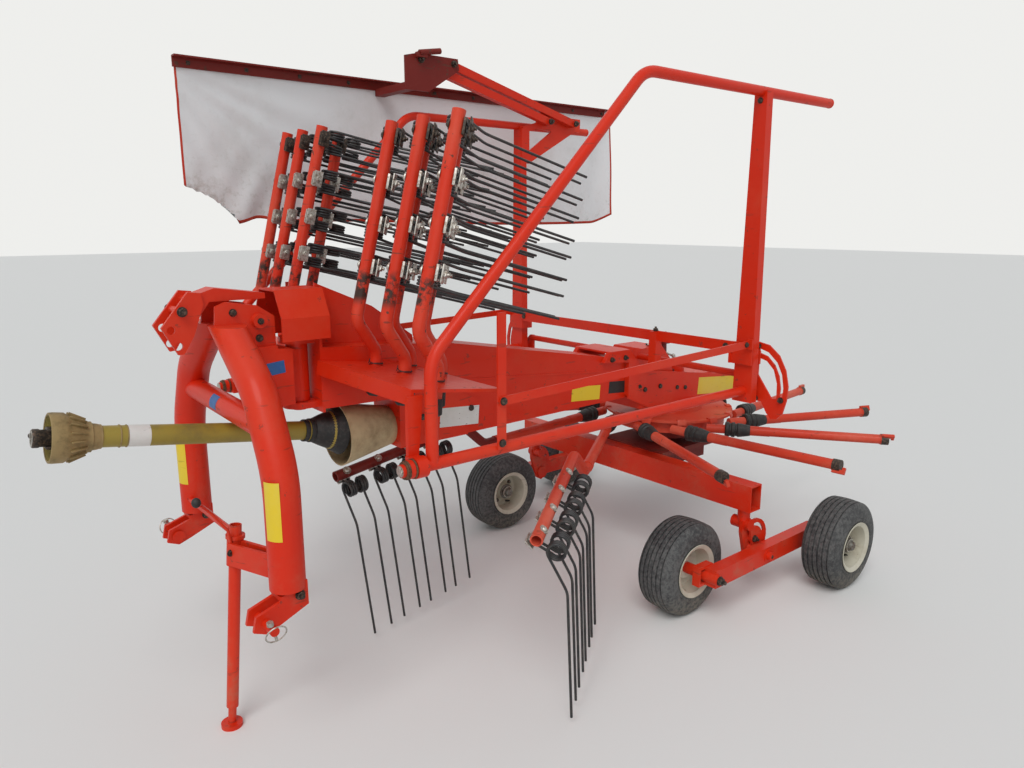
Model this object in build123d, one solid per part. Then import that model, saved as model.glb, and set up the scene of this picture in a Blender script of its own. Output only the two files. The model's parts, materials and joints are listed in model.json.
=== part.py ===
# Single rotor hay rake, parked: one part in millimetres, Z up, front towards -Y, left side towards +X.
# Lengthways places are worked out from the hoops' frame, then Y_SHIFT centres the whole part on Y = 0.
import os
from math import atan2, cos, degrees, hypot, radians, sin, tan

from build123d import *

# Driving sizes, all in mm
Y_SHIFT = -740.0

WHEEL_R = 203.0
WHEEL_W = 165.0
RIM_R = 102.0
AXLE_Z = 203.0
FRONT_WHEEL_X = 608.0
FRONT_WHEEL_Y = 986.0
REAR_WHEEL_X = 913.0
REAR_WHEEL_Y = 1732.0
TANDEM_X = 766.0
TANDEM_W = 56.0
TANDEM_H = 76.0
PIVOT_Y = 1353.0

BEAM_HALF = 88.0
AXLE_BEAM = dict(half=744.0, y0=1268.0, y1=1346.0, z0=404.0, z1=520.0, wall=6.0)

ROTOR_Y = 1618.0
ROTOR_PHASE = 5.8
ARM_COUNT = 12
ARM_OFFSET = 265.0
ARM_Z = 650.0
DISC_R = 325.0
DISC_Z = 681.0
STUB_R = 21.5
STUB_END = 1009.0
TINE_ARM_R = 21.0
TINE_ARM_END = 1833.0
TINE_ARM_SIDE = 23.5
TINE_ARM_RISE = 101.0
TINE_ARM_DROP = 6.7
TINE_PLUG = 80.0

HOOP_X = 720.0
HOOP_R = 19.0
HINGE_Z = 951.0
RAIL_Z = 2114.0
POST_Y = 1209.0

SWIVEL_Y = -406.0
LINK_PIN_R = 14.0
LINK_HALF = 450.0
LINK_PIN_Y = -746.0
LINK_PIN_Z = 480.0
FOOT_X = LINK_HALF - 35.0

RACK_Y = -372.0
RACK_Z = 1169.0
RACK_LEAN = 7.5

LEG_Y = -660.0
STAND_X = 164.0
STAND_Y = -779.0
STAND_LEAN = 5.2

# Clearances
FIT = 0.05
HINGE_GAP = 0.4
SLIDE_GAP = 0.6


def box(x0, x1, y0, y1, z0, z1):
    return Pos((x0 + x1) / 2, (y0 + y1) / 2, (z0 + z1) / 2) * Box(x1 - x0, y1 - y0, z1 - z0)


def rod(p, q, r, bore=0.0):
    d = Vector(*q) - Vector(*p)
    place = Plane(origin=p, z_dir=d).location * Pos(0, 0, d.length / 2)
    solid = place * Cylinder(r, d.length)
    if bore:
        solid -= place * Cylinder(bore, d.length + 2)
    return solid


def cone(p, q, r0, r1):
    d = Vector(*q) - Vector(*p)
    return Plane(origin=p, z_dir=d).location * Pos(0, 0, d.length / 2) * Cone(r0, r1, d.length)


def route(points, radii):
    # Straight runs joined by tangent arcs, given one radius for each inner point.
    edges = []
    start = Vector(*points[0])
    for i in range(1, len(points) - 1):
        a, b, c = (Vector(*points[j]) for j in (i - 1, i, i + 1))
        u = (a - b).normalized()
        v = (c - b).normalized()
        turn = radians(180 - u.get_angle(v))
        cut = radii[i - 1] * tan(turn / 2)
        p, q = b + u * cut, b + v * cut
        mid_dir = (u + v).normalized()
        mid = b + mid_dir * (radii[i - 1] / cos(turn / 2) - radii[i - 1])
        edges.append(Line(start, p))
        edges.append(ThreePointArc(p, mid, q))
        start = q
    edges.append(Line(start, Vector(*points[-1])))
    return Wire(edges)


def bent_rod(points, radii, r, bore=0.0):
    path = route(points, radii)
    d = Vector(*points[1]) - Vector(*points[0])
    plane = Plane(origin=points[0], z_dir=d)
    section = plane * Circle(r)
    if bore:
        section -= plane * Circle(bore)
    return sweep(section, path=path)


def prism_rod(points, r, sides=6):
    # A bar of straight runs with flat sides, overlapping a little at each bend.
    parts = []
    for p, q in zip(points, points[1:]):
        d = Vector(*q) - Vector(*p)
        place = Plane(origin=p, z_dir=d)
        parts.append(extrude(place * RegularPolygon(r, sides), amount=d.length))
    solid = parts[0]
    for other in parts[1:]:
        solid += other
    return solid


def plate_yz(points, x0, x1):
    plane = Plane(origin=(x0, 0, 0), x_dir=(0, 1, 0), z_dir=(1, 0, 0))
    return extrude(plane * make_face(Polyline(*points, close=True)), amount=x1 - x0)


def plate_xz(points, y0, y1):
    plane = Plane(origin=(0, y1, 0), x_dir=(1, 0, 0), z_dir=(0, -1, 0))
    return extrude(plane * make_face(Polyline(*points, close=True)), amount=y1 - y0)


def plate_xy(points, z0, z1):
    plane = Plane(origin=(0, 0, z0), x_dir=(1, 0, 0), z_dir=(0, 0, 1))
    return extrude(plane * make_face(Polyline(*points, close=True)), amount=z1 - z0)


def turned(profile, place):
    # A solid of revolution about the local X axis: the profile lists (along, radius).
    face = Plane.XY * make_face(Polyline(*profile, close=True))
    return place * revolve(face, axis=Axis.X)


def flip(shape):
    return mirror(shape, about=Plane.YZ)


NODES = {}


def node(name, *solids):
    children = []
    for s in solids:
        children += list(s.solids())
    shape = Compound(children=children) if len(children) > 1 else children[0]
    shape = shape.moved(Location((0, Y_SHIFT, 0)))
    shape.label = name
    NODES[name] = shape


# Main beam: a folded wedge box, deep behind the headstock and shallow at the rotor
BEAM_FRONT = SWIVEL_Y + 54.0
outline = [(BEAM_FRONT, 1212), (140, 1181), (1250, 985), (1250, 812), (300, 803),
           (-60, 800), (-60, 992), (BEAM_FRONT, 997)]
inner = [(BEAM_FRONT - 1, 1204), (138, 1173), (1251, 977), (1251, 820), (300, 811),
         (-52, 808), (-52, 1000), (BEAM_FRONT - 1, 1005)]
beam = plate_yz(outline, -BEAM_HALF, BEAM_HALF) - plate_yz(inner, -BEAM_HALF + 6, BEAM_HALF - 6)
beam += plate_yz([(-50, 1176), (140, 1168), (140, 1005), (-50, 1005)], -BEAM_HALF + 5, -BEAM_HALF + 12)
for side in (-1, 1):
    x0 = side * BEAM_HALF
    x1 = side * (BEAM_HALF + 8)
    gusset = [(-60, 800), (250, 800), (318, 930), (200, 985), (-60, 1010)]
    beam += plate_yz(gusset, min(x0, x1), max(x0, x1))
    crease = [(-60, 1040), (1000, 955), (1000, 964), (-60, 1050)]
    x2 = side * (BEAM_HALF + 3)
    beam += plate_yz(crease, min(x0, x2), max(x0, x2))
fin = [(-330, 1205), (-330, 1425), (-110, 1330), (60, 1208), (60, 1180)]
beam += plate_yz(fin, -6, 6)
# Knuckle on the front of the beam, which the headstock swings in
beam += box(-BEAM_HALF, BEAM_HALF, SWIVEL_Y + 45, SWIVEL_Y + 55, 985, 1250)
for z in (1000, 1226):
    tongue = box(-58, 58, SWIVEL_Y, SWIVEL_Y + 48, z, z + 22)
    tongue += Pos(0, SWIVEL_Y, z + 11) * Cylinder(58, 22)
    beam += tongue - Pos(0, SWIVEL_Y, z + 11) * Cylinder(25 + FIT, 30)
node("main_beam", beam)

# Hood of folded sheet over the swivel, carried by the fin
hood_out = [(-112, 1246), (-112, 1322), (-64, 1412), (64, 1412), (112, 1322), (112, 1246)]
hood_in = [(-107, 1245), (-107, 1321), (-61, 1407), (61, 1407), (107, 1321), (107, 1245)]
hood = plate_xz(hood_out, -500, -330) - plate_xz(hood_in, -501, -334)
node("swivel_hood", hood)

# Rotor head: gearbox between two side plates, with its top covers
head_side = [(1172, 812), (1172, 936), (1262, 936), (2034, 822), (2034, 734), (1800, 724), (1330, 742)]
for side in (-1, 1):
    x0, x1 = sorted((side * 112, side * 120))
    plate = plate_yz(head_side, x0, x1)
    head = plate if side == -1 else head + plate
head += box(-113, 113, 1262, 1820, 746, 862)
cheek = [(1010, 1000), (1050, 1046), (1180, 1046), (1286, 930), (1286, 850), (1200, 816), (1176, 824), (1176, 985)]
head += plate_yz(cheek, -113, -90)
head += plate_yz(cheek, 90, 113)
head += box(-91, 91, 1046, 1184, 1038, 1046)
head += plate_yz([(1254, 850), (1254, 1000), (1290, 1034), (1440, 1034), (1512, 960), (1545, 850)], -88, 88)
head += Pos(0, 1640, 880) * Cylinder(60, 60)
head += box(-113, 113, 1990, 2030, 740, 816)
head += Pos(0, ROTOR_Y, 734) * Cylinder(150, 28)
node("rotor_head", head)

# Column of the rotor, its foot and the fixed cam housing under the arms
column = Pos(0, ROTOR_Y, 640) * Cylinder(52, 160)
column += Pos(0, ROTOR_Y, 575) * Cylinder(175, 30)
column += Pos(0, ROTOR_Y, 545) * Cylinder(80, 34)
foot = box(-200, 200, AXLE_BEAM["y1"], 1790, 506, 528)
foot += box(-150, 150, AXLE_BEAM["y1"], 1740, 432, 508)
node("rotor_column", column + foot)

# Axle beam across the machine, open at both ends
a = AXLE_BEAM
axle_beam = box(-a["half"], a["half"], a["y0"], a["y1"], a["z0"], a["z1"])
axle_beam -= box(-a["half"] - 1, a["half"] + 1, a["y0"] + a["wall"], a["y1"] - a["wall"],
                 a["z0"] + a["wall"], a["z1"] - a["wall"])
node("axle_beam", axle_beam)


# Carriers under the beam's ends: spindle, cross boss, teardrop plate and slotted quarter
def carrier():
    body = rod((690, 1308, 340), (690, 1308, AXLE_BEAM["z0"]), 27)
    body += rod((640, 1308, 335), (728, 1308, 335), 26)
    drop = [(1276, 352), (1340, 352), (1392, 250), (1392, 180), (1350, 158), (1312, 180), (1276, 300)]
    body += plate_yz(drop, 690, 706)
    arc = []
    for step in range(0, 11):
        t = radians(118 - step * 15.0)
        arc.append((1345 + 92 * cos(t), 262 + 92 * sin(t)))
    quarter = plate_yz(arc + [(1352, 168)], 716, 726)
    slot = [(1345 + 74 * cos(radians(100 - i * 12)), 262 + 74 * sin(radians(100 - i * 12))) for i in range(8)]
    slot += [(1345 + 58 * cos(radians(16 + i * 12)), 262 + 58 * sin(radians(16 + i * 12))) for i in range(8)]
    body += quarter - plate_yz(slot, 715, 727)
    body += rod((680, PIVOT_Y, AXLE_Z), (TANDEM_X - TANDEM_W / 2 + 1, PIVOT_Y, AXLE_Z), 34)
    body += rod((700, 1345, 262), (716.5, 1345, 262), 20)
    return body



# Tandem beams, with the front axle stub inwards and the rear one outwards
def tandem():
    x0 = TANDEM_X - TANDEM_W / 2
    x1 = TANDEM_X + TANDEM_W / 2
    z0 = AXLE_Z - TANDEM_H / 2
    z1 = AXLE_Z + TANDEM_H / 2
    body = box(x0, x1, FRONT_WHEEL_Y - 8, REAR_WHEEL_Y + 34, z0, z1)
    body -= box(x0 + 5, x1 - 5, FRONT_WHEEL_Y + 30, REAR_WHEEL_Y + 35, z0 + 5, z1 - 5)
    body += rod((FRONT_WHEEL_X + 30, FRONT_WHEEL_Y, AXLE_Z), (x1 + 12, FRONT_WHEEL_Y, AXLE_Z), 24)
    body += box(x0 - 34, x0 + 1, FRONT_WHEEL_Y - 34, FRONT_WHEEL_Y + 44, AXLE_Z - 42, AXLE_Z - 30)
    body += box(x0 - 34, x0 + 1, FRONT_WHEEL_Y - 34, FRONT_WHEEL_Y + 44, AXLE_Z + 30, AXLE_Z + 42)
    body += box(x0 - 34, x0 + 1, FRONT_WHEEL_Y - 44, FRONT_WHEEL_Y - 34, AXLE_Z - 42, AXLE_Z + 42)
    body += rod((x0 + 6, REAR_WHEEL_Y, AXLE_Z), (REAR_WHEEL_X - 30, REAR_WHEEL_Y, AXLE_Z), 24)
    body += rod((x0 - 1, PIVOT_Y, AXLE_Z), (x1 + 4, PIVOT_Y, AXLE_Z), 30)
    body += rod((x1 + 3, PIVOT_Y, AXLE_Z), (x1 + 22, PIVOT_Y, AXLE_Z), 19)
    return body


UNDERCARRIAGE = tandem() + carrier()
node("tandem_left", UNDERCARRIAGE)
node("tandem_right", flip(UNDERCARRIAGE))


# Wheels: ribbed low tyre on a dished rim, turning on its stub
def tyre(x, y):
    h = WHEEL_W / 2
    profile = [(-h + 12, RIM_R), (-h, RIM_R + 14), (-h, 170), (-h + 10, 188), (-h + 26, WHEEL_R - 3)]
    for i in range(5):
        g = -44 + 22 * i
        profile += [(g - 3, WHEEL_R - 0.8 * abs(g) / 22), (g - 2, WHEEL_R - 6), (g + 2, WHEEL_R - 6),
                    (g + 3, WHEEL_R - 0.8 * abs(g) / 22)]
    profile += [(h - 26, WHEEL_R - 3), (h - 10, 188), (h, 170), (h, RIM_R + 14), (h - 12, RIM_R)]
    return turned(profile, Pos(x, y, AXLE_Z))


def rim(x, y, out):
    # The dish is deeper on the side the profile calls out, +1 or -1 along X.
    h = WHEEL_W / 2
    profile = [(-h + 11.5, RIM_R - 0.4), (-h - 1.5, RIM_R + 13), (-h - 4.5, RIM_R + 12), (-h + 5, RIM_R - 6),
               (-18, RIM_R - 16), (-12, 52), (-30, 48), (-30, 24 + FIT), (46, 24 + FIT), (46, 34),
               (8, 46), (-4, 52), (-8, RIM_R - 22), (-2, RIM_R - 12), (h - 5, RIM_R - 6), (h + 4.5, RIM_R + 12),
               (h + 1.5, RIM_R + 13), (h - 11.5, RIM_R - 0.4)]
    place = Pos(x, y, AXLE_Z)
    if out < 0:
        place = place * Rot(0, 0, 180)
    body = turned(profile, place)
    body += rod((x + out * 40, y, AXLE_Z), (x + out * 58, y, AXLE_Z), 30)
    return body


for side, tag in ((1, "left"), (-1, "right")):
    node("tyre_front_" + tag, tyre(side * FRONT_WHEEL_X, FRONT_WHEEL_Y))
    node("rim_front_" + tag, rim(side * FRONT_WHEEL_X, FRONT_WHEEL_Y, -side))
    node("tyre_rear_" + tag, tyre(side * REAR_WHEEL_X, REAR_WHEEL_Y))
    node("rim_rear_" + tag, rim(side * REAR_WHEEL_X, REAR_WHEEL_Y, side))


# Rotor: disc and arm ring, boots, short arms and the two long tine arms left on it
def arm_place(k):
    return Pos(0, ROTOR_Y, ARM_Z) * Rot(0, 0, ROTOR_PHASE + 360.0 / ARM_COUNT * k)


disc = Pos(0, ROTOR_Y, DISC_Z) * Cylinder(DISC_R, 10)
disc += Pos(0, ROTOR_Y, 647) * Cylinder(286, 60)
disc += Pos(0, ROTOR_Y, DISC_Z + 16) * Cylinder(170, 26)
disc -= Pos(0, ROTOR_Y, 640) * Cylinder(52 + HINGE_GAP, 200)
disc -= Pos(0, ROTOR_Y, DISC_Z + 40) * Cylinder(152, 52)
node("rotor_disc", disc)

BOOT_PROFILE = [(286, STUB_R + 0.2), (286, 31), (291, 37), (303, 37), (308, 31), (314, 31), (319, 36), (330, 36),
                (335, 30), (341, 30), (346, 34), (362, 32), (402, 25), (402, STUB_R + 0.2)]
HOOK_TURNS = [150, 40, -20, 0, 60, 180, 90, 20, 130, 0, 0, 200]
boots = []
stubs = []
for k in range(ARM_COUNT):
    place = arm_place(k)
    y = -ARM_OFFSET
    boots.append(turned(BOOT_PROFILE, place * Pos(0, y, 0)))
    stub = rod((200, y, 0), (STUB_END, y, 0), STUB_R)
    stub += rod((STUB_END - 34, y, 0), (STUB_END, y, 0), STUB_R + 3)
    stub += rod((402, y, 0), (492, y, 0), STUB_R + 1.5)
    if k not in (9, 10):
        claw = box(STUB_END - 30, STUB_END + 22, -7, 7, STUB_R - 4, STUB_R + 12)
        claw += box(STUB_END + 10, STUB_END + 22, -7, 7, STUB_R - 16, STUB_R + 12)
        stub += Pos(0, y, 0) * Rot(HOOK_TURNS[k], 0, 0) * claw
    stubs.append(place * stub)
node("rotor_boots", *boots)
node("rotor_stubs", *stubs)


def tine_arm():
    # Along +X from the clamp: S-bend to the side and up, then the sloping straight with the tine bolts.
    side = -TINE_ARM_SIDE
    length = TINE_ARM_END - STUB_END
    points = [(0, 0, 0), (62, 0, 0), (BEND_END, side, TINE_ARM_RISE), (length, side, arm_rise(length))]
    return bent_rod(points, [62, 62], TINE_ARM_R)


def arm_rise(at):
    return TINE_ARM_RISE - (at - BEND_END) * tan(radians(TINE_ARM_DROP))


BEND_END = 168.0
PAIR_AT = [350, 490, 631, 778]
PRONG_HALF = 41.0
WIRE_R = 4.8
COIL_R = 33.0
COIL_TURNS = 3
COIL_PITCH = 10.0
COIL_OUT = 60.0
COIL_DOWN = 40.0
KNEE = (35.0, 135.0)
TIP = (45.0, 612.0)


def double_tine():
    # Sprung wire: clamp plate on the arm, two coils beside it, and a bent prong from each coil's outer turn.
    y0 = COIL_OUT
    z0 = -COIL_DOWN
    inner_r = COIL_R - 2 * WIRE_R
    wire_at = COIL_R - WIRE_R
    end = PRONG_HALF + WIRE_R
    profile = [(end, inner_r), (end - COIL_TURNS * COIL_PITCH, inner_r)]
    for turn in reversed(range(COIL_TURNS)):
        outer = end - turn * COIL_PITCH
        profile += [(outer - COIL_PITCH, wire_at), (outer - COIL_PITCH + 3, COIL_R), (outer - 3, COIL_R)]
    profile.append((end, wire_at))
    half = turned(profile, Pos(0, y0, z0))
    half += rod((11, -24, -25), (14, y0 - 22, z0 - 22), WIRE_R)
    slant = radians(25)
    half += bent_rod([(PRONG_HALF, y0 - wire_at * cos(slant), z0 - wire_at * sin(slant)),
                      (PRONG_HALF, y0 + KNEE[0], z0 - KNEE[1]),
                      (PRONG_HALF, y0 + TIP[0], z0 - TIP[1])], [90], WIRE_R)
    plate = Rot(45, 0, 0) * box(-17, 17, -TINE_ARM_R - 14, -TINE_ARM_R - 0.5, -18, 18)
    return plate + half + flip(half)


DOUBLE_TINE = double_tine()
TINE_SET = [Pos(at, -TINE_ARM_SIDE, arm_rise(at)) * Rot(0, TINE_ARM_DROP, 0) * DOUBLE_TINE for at in PAIR_AT]
TINE_ARM = tine_arm()

long_arms = []
long_tines = []
for k in (9, 10):
    place = arm_place(k) * Pos(STUB_END + 1, -ARM_OFFSET, 0)
    long_arms.append(place * TINE_ARM)
    for t in TINE_SET:
        long_tines.append(place * t)
node("tine_arms", *long_arms)
node("rotor_tines", *long_tines)

# Storage rack: leaning plate across the beam, with the arms that are taken off
rack_place = Pos(0, RACK_Y, RACK_Z) * Rot(-RACK_LEAN, 0, 0)
SLOTS = [
    # x and y of the hole on the plate, turn of the prongs towards the centre, how deep the arm sits
    dict(x=555.0, y=173.0, turn=0.0, seat=16.0), dict(x=367.0, y=173.0, turn=0.0, seat=16.0),
    dict(x=180.0, y=173.0, turn=0.0, seat=16.0),
    dict(x=229.5, y=281.0, turn=0.0, seat=16.0), dict(x=416.5, y=281.0, turn=0.0, seat=16.0),
    dict(x=-290.0, y=173.0, turn=-44.0, seat=-12.0), dict(x=-458.0, y=173.0, turn=-44.0, seat=-12.0),
    dict(x=-600.0, y=173.0, turn=-44.0, seat=-12.0),
    dict(x=-362.0, y=281.0, turn=-44.0, seat=-12.0), dict(x=-530.0, y=281.0, turn=-44.0, seat=-12.0),
]
rack = Pos(-5, 165, -5) * Box(1370, 330, 10)
rack += Pos(-5, 5, -24) * Box(1370, 10, 48)
rack -= Pos(0, 165, 0) * Box(2 * BEAM_HALF + 1, 400, 200)
for s in SLOTS:
    rack -= Pos(s["x"], s["y"], 0) * Cylinder(TINE_ARM_R + 1, 60)
rack = rack_place * rack
brackets = []
for side in (-1, 1):
    x0, x1 = sorted((side * 676, side * 690))
    arm = plate_yz([(-392, 1150), (-340, 1150), (-362, 940), (-394, 940)], x0, x1)
    x0, x1 = sorted((side * 676, side * 720))
    arm += box(x0, x1, -396, -360, 925, 977)
    eye = rod((side * HOOP_X, -396, HINGE_Z), (side * HOOP_X, -360, HINGE_Z), 31)
    arm += eye
    arm -= rod((side * HOOP_X, -400, HINGE_Z), (side * HOOP_X, -350, HINGE_Z), HOOP_R + HINGE_GAP)
    brackets.append(arm)
for arm in brackets:
    rack += arm
node("storage_rack", rack)

STORED_ARM = TINE_ARM + rod((-TINE_PLUG, 0, 0), (1, 0, 0), TINE_ARM_R - 1)
arms = {"left": [], "right": []}
tines = {"left": [], "right": []}
for s in SLOTS:
    tag = "left" if s["x"] > 0 else "right"
    stand = rack_place * Pos(s["x"], s["y"], -s["seat"]) * Rot(0, 0, s["turn"] - 90) * Rot(0, -90, 0) * Rot(180, 0, 0)
    arms[tag].append(stand * STORED_ARM)
    for t in TINE_SET:
        tines[tag].append(stand * t)
for tag in ("left", "right"):
    node("stored_arms_" + tag, *arms[tag])
    node("stored_tines_" + tag, *tines[tag])

# Input shield on the beam's front gusset
bell = cone((0, -272, 872), (0, -60.2, 872), 117, 75) - cone((0, -273, 872), (0, -58, 872), 113, 71)
bell += rod((0, -66, 872), (0, -60.2, 872), 75, 20)
node("input_shield", bell)

# Cross bar with its saddles, mast and rear hinge brackets
bar = box(-676, 676, 1172, 1180, 1106, 1152)
bar += box(250, 290, 1150, 1190, 1000, 1150)
for side in (-1, 1):
    x0, x1 = sorted((side * 664, side * 762))
    bar += box(x0, x1, POST_Y - 34, POST_Y - 26, 1062, 1152)
    bar += box(x0, x1, POST_Y + 26, POST_Y + 34, 1062, 1116)
    x0, x1 = sorted((side * 656, side * 666))
    bar += box(x0, x1, POST_Y - 38, POST_Y + 34, 1062, 1116)

supports = rod((-690, 1275, 1000), (690, 1275, 1000), 15) - box(-88, 88, 1250, 1300, 980, 1020)
for side in (-1, 1):
    plate = plate_xz([(side * 676, 925), (side * 676, 1016), (side * 700, 1016), (side * 752, 968),
                      (side * 752, 925)], 1268, 1282)
    plate += rod((side * HOOP_X, 1232, HINGE_Z), (side * HOOP_X, 1282, HINGE_Z), 15 - HINGE_GAP)
    supports += plate
node("cross_bar", bar, supports)


# Headstock: arch of bent tube with its cross tube, box, side plates and boss
def leg(side):
    return bent_rod([(side * 20, LEG_Y - 3, 1352), (side * (FOOT_X - 117), LEG_Y, 1134), (side * FOOT_X, LEG_Y, 905),
                     (side * FOOT_X, LEG_Y, 556)], [230, 330], 54)


arch = leg(1) + leg(-1)
arch -= box(-200, 200, LEG_Y - 80, LEG_Y + 80, 1312, 1480)
arch += rod((20 - FOOT_X, LEG_Y, 1052), (FOOT_X - 40, LEG_Y, 1030), 38)

box_side = [(SWIVEL_Y - 234, 1235), (SWIVEL_Y - 49, 1218), (SWIVEL_Y - 49, 1030), (SWIVEL_Y - 154, 1020),
            (SWIVEL_Y - 194, 1130)]
frame_box = plate_yz(box_side, -80, -72)
frame_box += plate_yz(box_side, 72, 80)
frame_box += box(-80, 80, SWIVEL_Y - 57, SWIVEL_Y - 49, 1030, 1218)
frame_box += rod((0, SWIVEL_Y, 1023), (0, SWIVEL_Y, 1225), 37)
frame_box += box(-36, 36, SWIVEL_Y - 54, SWIVEL_Y, 1040, 1208)
frame_box += rod((0, SWIVEL_Y, 990), (0, SWIVEL_Y, 1262), 25)
side_plate = [(-700, 1300), (-694, 1372), (-660, 1385), (-560, 1368), (-505, 1330), (-505, 1228), (-600, 1228)]
for side in (-1, 1):
    x0, x1 = sorted((side * 58, side * 68))
    frame_box += plate_yz(side_plate, x0, x1)
frame_box += box(-80, 80, -600, -505, 1222, 1234)
frame_box += rod((-92, -561, 1319), (92, -561, 1319), 23)

# Top link bracket: two plates with three cross holes and the ridge housing behind them
plate = [(-766, 1421), (-728, 1416), (-722, 1380), (-756, 1287), (-790, 1232), (-808, 1230), (-852, 1316)]
top = None
for side in (-1, 1):
    x0, x1 = sorted((side * 38, side * 50))
    cheek = plate_yz(plate, x0, x1)
    top = cheek if top is None else top + cheek
for y, z in ((-824, 1307), (-805, 1256)):
    top -= rod((-60, y, z), (60, y, z), 12.75)
top += rod((-62, -791, 1363), (62, -791, 1363), 12.5)
ridge = [(-770, 1345), (-770, 1400), (-682, 1428), (-520, 1404), (-520, 1386), (-700, 1386), (-730, 1345)]
top += plate_yz(ridge, -38, 38)
node("top_link_bracket", top)


# Lower link clevises at the feet of the arch, with their pins
def clevis(side):
    plate = [(-612, 578), (-660, 578), (-700, 532), (-775, 507), (-785, 462), (-745, 445), (-700, 462), (-612, 500)]
    x_in = LINK_HALF - 68
    x_out = LINK_HALF
    body = plate_yz(plate, x_in, x_in + 12)
    body += plate_yz(plate, x_out - 12, x_out)
    body += rod((x_in - 4, -640, 540), (x_out + 4, -640, 540), 15)
    body += box(x_in, x_out, -700, -614, 534, 548)
    return body if side > 0 else flip(body)


def link_pin(side):
    x0 = LINK_HALF - 76
    body = rod((x0, LINK_PIN_Y, LINK_PIN_Z), (LINK_HALF + 62, LINK_PIN_Y, LINK_PIN_Z), LINK_PIN_R)
    body += rod((x0 - 6, LINK_PIN_Y, LINK_PIN_Z), (x0, LINK_PIN_Y, LINK_PIN_Z), 22)
    return body if side > 0 else flip(body)


node("link_clevises", clevis(1) + link_pin(1) - arch, clevis(-1) + link_pin(-1) - arch)

# Parking stand: short sleeve on a plate from the left leg, stay to the right leg, leaning tube with its foot
stand_place = Pos(STAND_X, STAND_Y, 0) * Rot(-STAND_LEAN, 0, 0)
sleeve = rod((0, 0, 562), (0, 0, 662), 26, 19 + SLIDE_GAP)
sleeve = stand_place * (sleeve + rod((0, 0, 650), (0, 0, 662), 30, 19 + SLIDE_GAP))
bracket = plate_xy([(STAND_X + 14, -752), (STAND_X + 14, -704), (FOOT_X - 40, -628), (FOOT_X - 40, -676)], 566, 642)
bracket -= plate_xy([(STAND_X + 20, -741), (STAND_X + 20, -715), (FOOT_X - 41, -640), (FOOT_X - 41, -664)], 574, 643)
bracket -= stand_place * rod((0, 0, 540), (0, 0, 700), 25)
stay = rod((STAND_X - 20, -727, 668), (-FOOT_X + 40, -690, 612), 11) + rod((STAND_X - 22, -727, 668), (STAND_X - 14, -727, 640), 12)
stay -= stand_place * rod((0, 0, 540), (0, 0, 720), 25)
node("headstock_frame", arch + frame_box + sleeve + bracket + stay)
stand = rod((0, 0, 70), (0, 0, 694), 19)
stand -= rod((0, 0, 640), (0, 0, 695), 15)
stand += rod((0, 0, 12), (0, 0, 72), 13)
stand = stand_place * stand + rod((STAND_X, STAND_Y, 0), (STAND_X, STAND_Y, 14), 34)
node("parking_stand", stand)


# Drive shaft in its guard
def pto(y):
    return (0, y, 1007 - 0.147 * (y + 1066))


guard = rod(pto(-1066), pto(-395), 33)
guard += cone(pto(-1172), pto(-1062), 72, 40) - cone(pto(-1175), pto(-1080), 66, 38)
guard += rod(pto(-400), pto(-362), 38)
guard += cone(pto(-364), pto(-262), 42, 88) - cone(pto(-350), pto(-260), 38, 84)
guard += rod(pto(-410), (0, -62, 872), 17)
node("shaft_guard", guard)
node("shaft_yoke", rod(pto(-1215), pto(-1110), 24, 17.5))


# Guard hoops: bent tube frame, post, braces and slotted quarter, hinged along the lower tube
def hoop():
    x = HOOP_X
    frame = bent_rod([(x, -333, HINGE_Z + 4), (x, -333, 1254), (x, 525, RAIL_Z), (x, 1690, RAIL_Z)], [130, 130], HOOP_R)
    frame += rod((x, -440, HINGE_Z), (x, 1242, HINGE_Z), HOOP_R)
    frame -= rod((x, 1229, HINGE_Z), (x, 1243, HINGE_Z), 15)
    frame += rod((x, -418, HINGE_Z), (x, -404, HINGE_Z), 27)
    return frame


def hoop_post():
    x = HOOP_X
    sides = [(x - 46, 905), (x + 42, 905), (x + 27, RAIL_Z), (x - 27, RAIL_Z)]
    post = plate_xz(sides, POST_Y - 20, POST_Y + 20)
    return post


def hoop_braces():
    x = HOOP_X
    bars = plate_yz([(-112, 955), (-80, 955), (-80, 1372), (-112, 1372)], x + 20, x + 26)
    slope = [(-106, 1092), (1172, 1134), (1172, 1164), (-106, 1120)]
    bars += plate_yz(slope, x + 26.5, x + 32)
    bars += box(x + 26.5, x + 48, 1166, 1174, 1128, 1170)
    return bars


def hoop_quarter():
    x = HOOP_X
    points = [(x + 22, 1150), (x + 70, 1142), (x + 118, 1104), (x + 150, 1048), (x + 165, 985), (x + 162, 925),
              (x + 148, 870), (x + 126, 845), (x + 98, 840), (x + 76, 862), (x + 50, 905), (x + 22, 905)]
    window = [(x + 26, 1086), (x + 64, 1076), (x + 98, 1044), (x + 116, 990), (x + 118, 930), (x + 95, 925),
              (x + 26, 1015)]
    slot = [(x + 28, 1124), (x + 70, 1112), (x + 112, 1076), (x + 136, 1030), (x + 146, 975), (x + 144, 940),
            (x + 130, 940), (x + 132, 972), (x + 122, 1022), (x + 100, 1064), (x + 64, 1096), (x + 28, 1106)]
    plate = plate_xz(points, POST_Y + 44, POST_Y + 52)
    plate -= plate_xz(slot, POST_Y + 43, POST_Y + 53)
    plate -= plate_xz(window, POST_Y + 43, POST_Y + 53)
    plate += box(x + 8, x + 26, POST_Y + 19, POST_Y + 52, 1130, 1150)
    plate += box(x + 8, x + 26, POST_Y + 19, POST_Y + 52, 905, 925)
    return plate


for side, tag in ((1, "left"), (-1, "right")):
    turn = (lambda s: s) if side > 0 else flip
    node("hoop_" + tag, turn(hoop()))
    node("hoop_post_" + tag, turn((hoop_post() - hoop()) + hoop_quarter()))
    node("hoop_braces_" + tag, turn(hoop_braces()))

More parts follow.
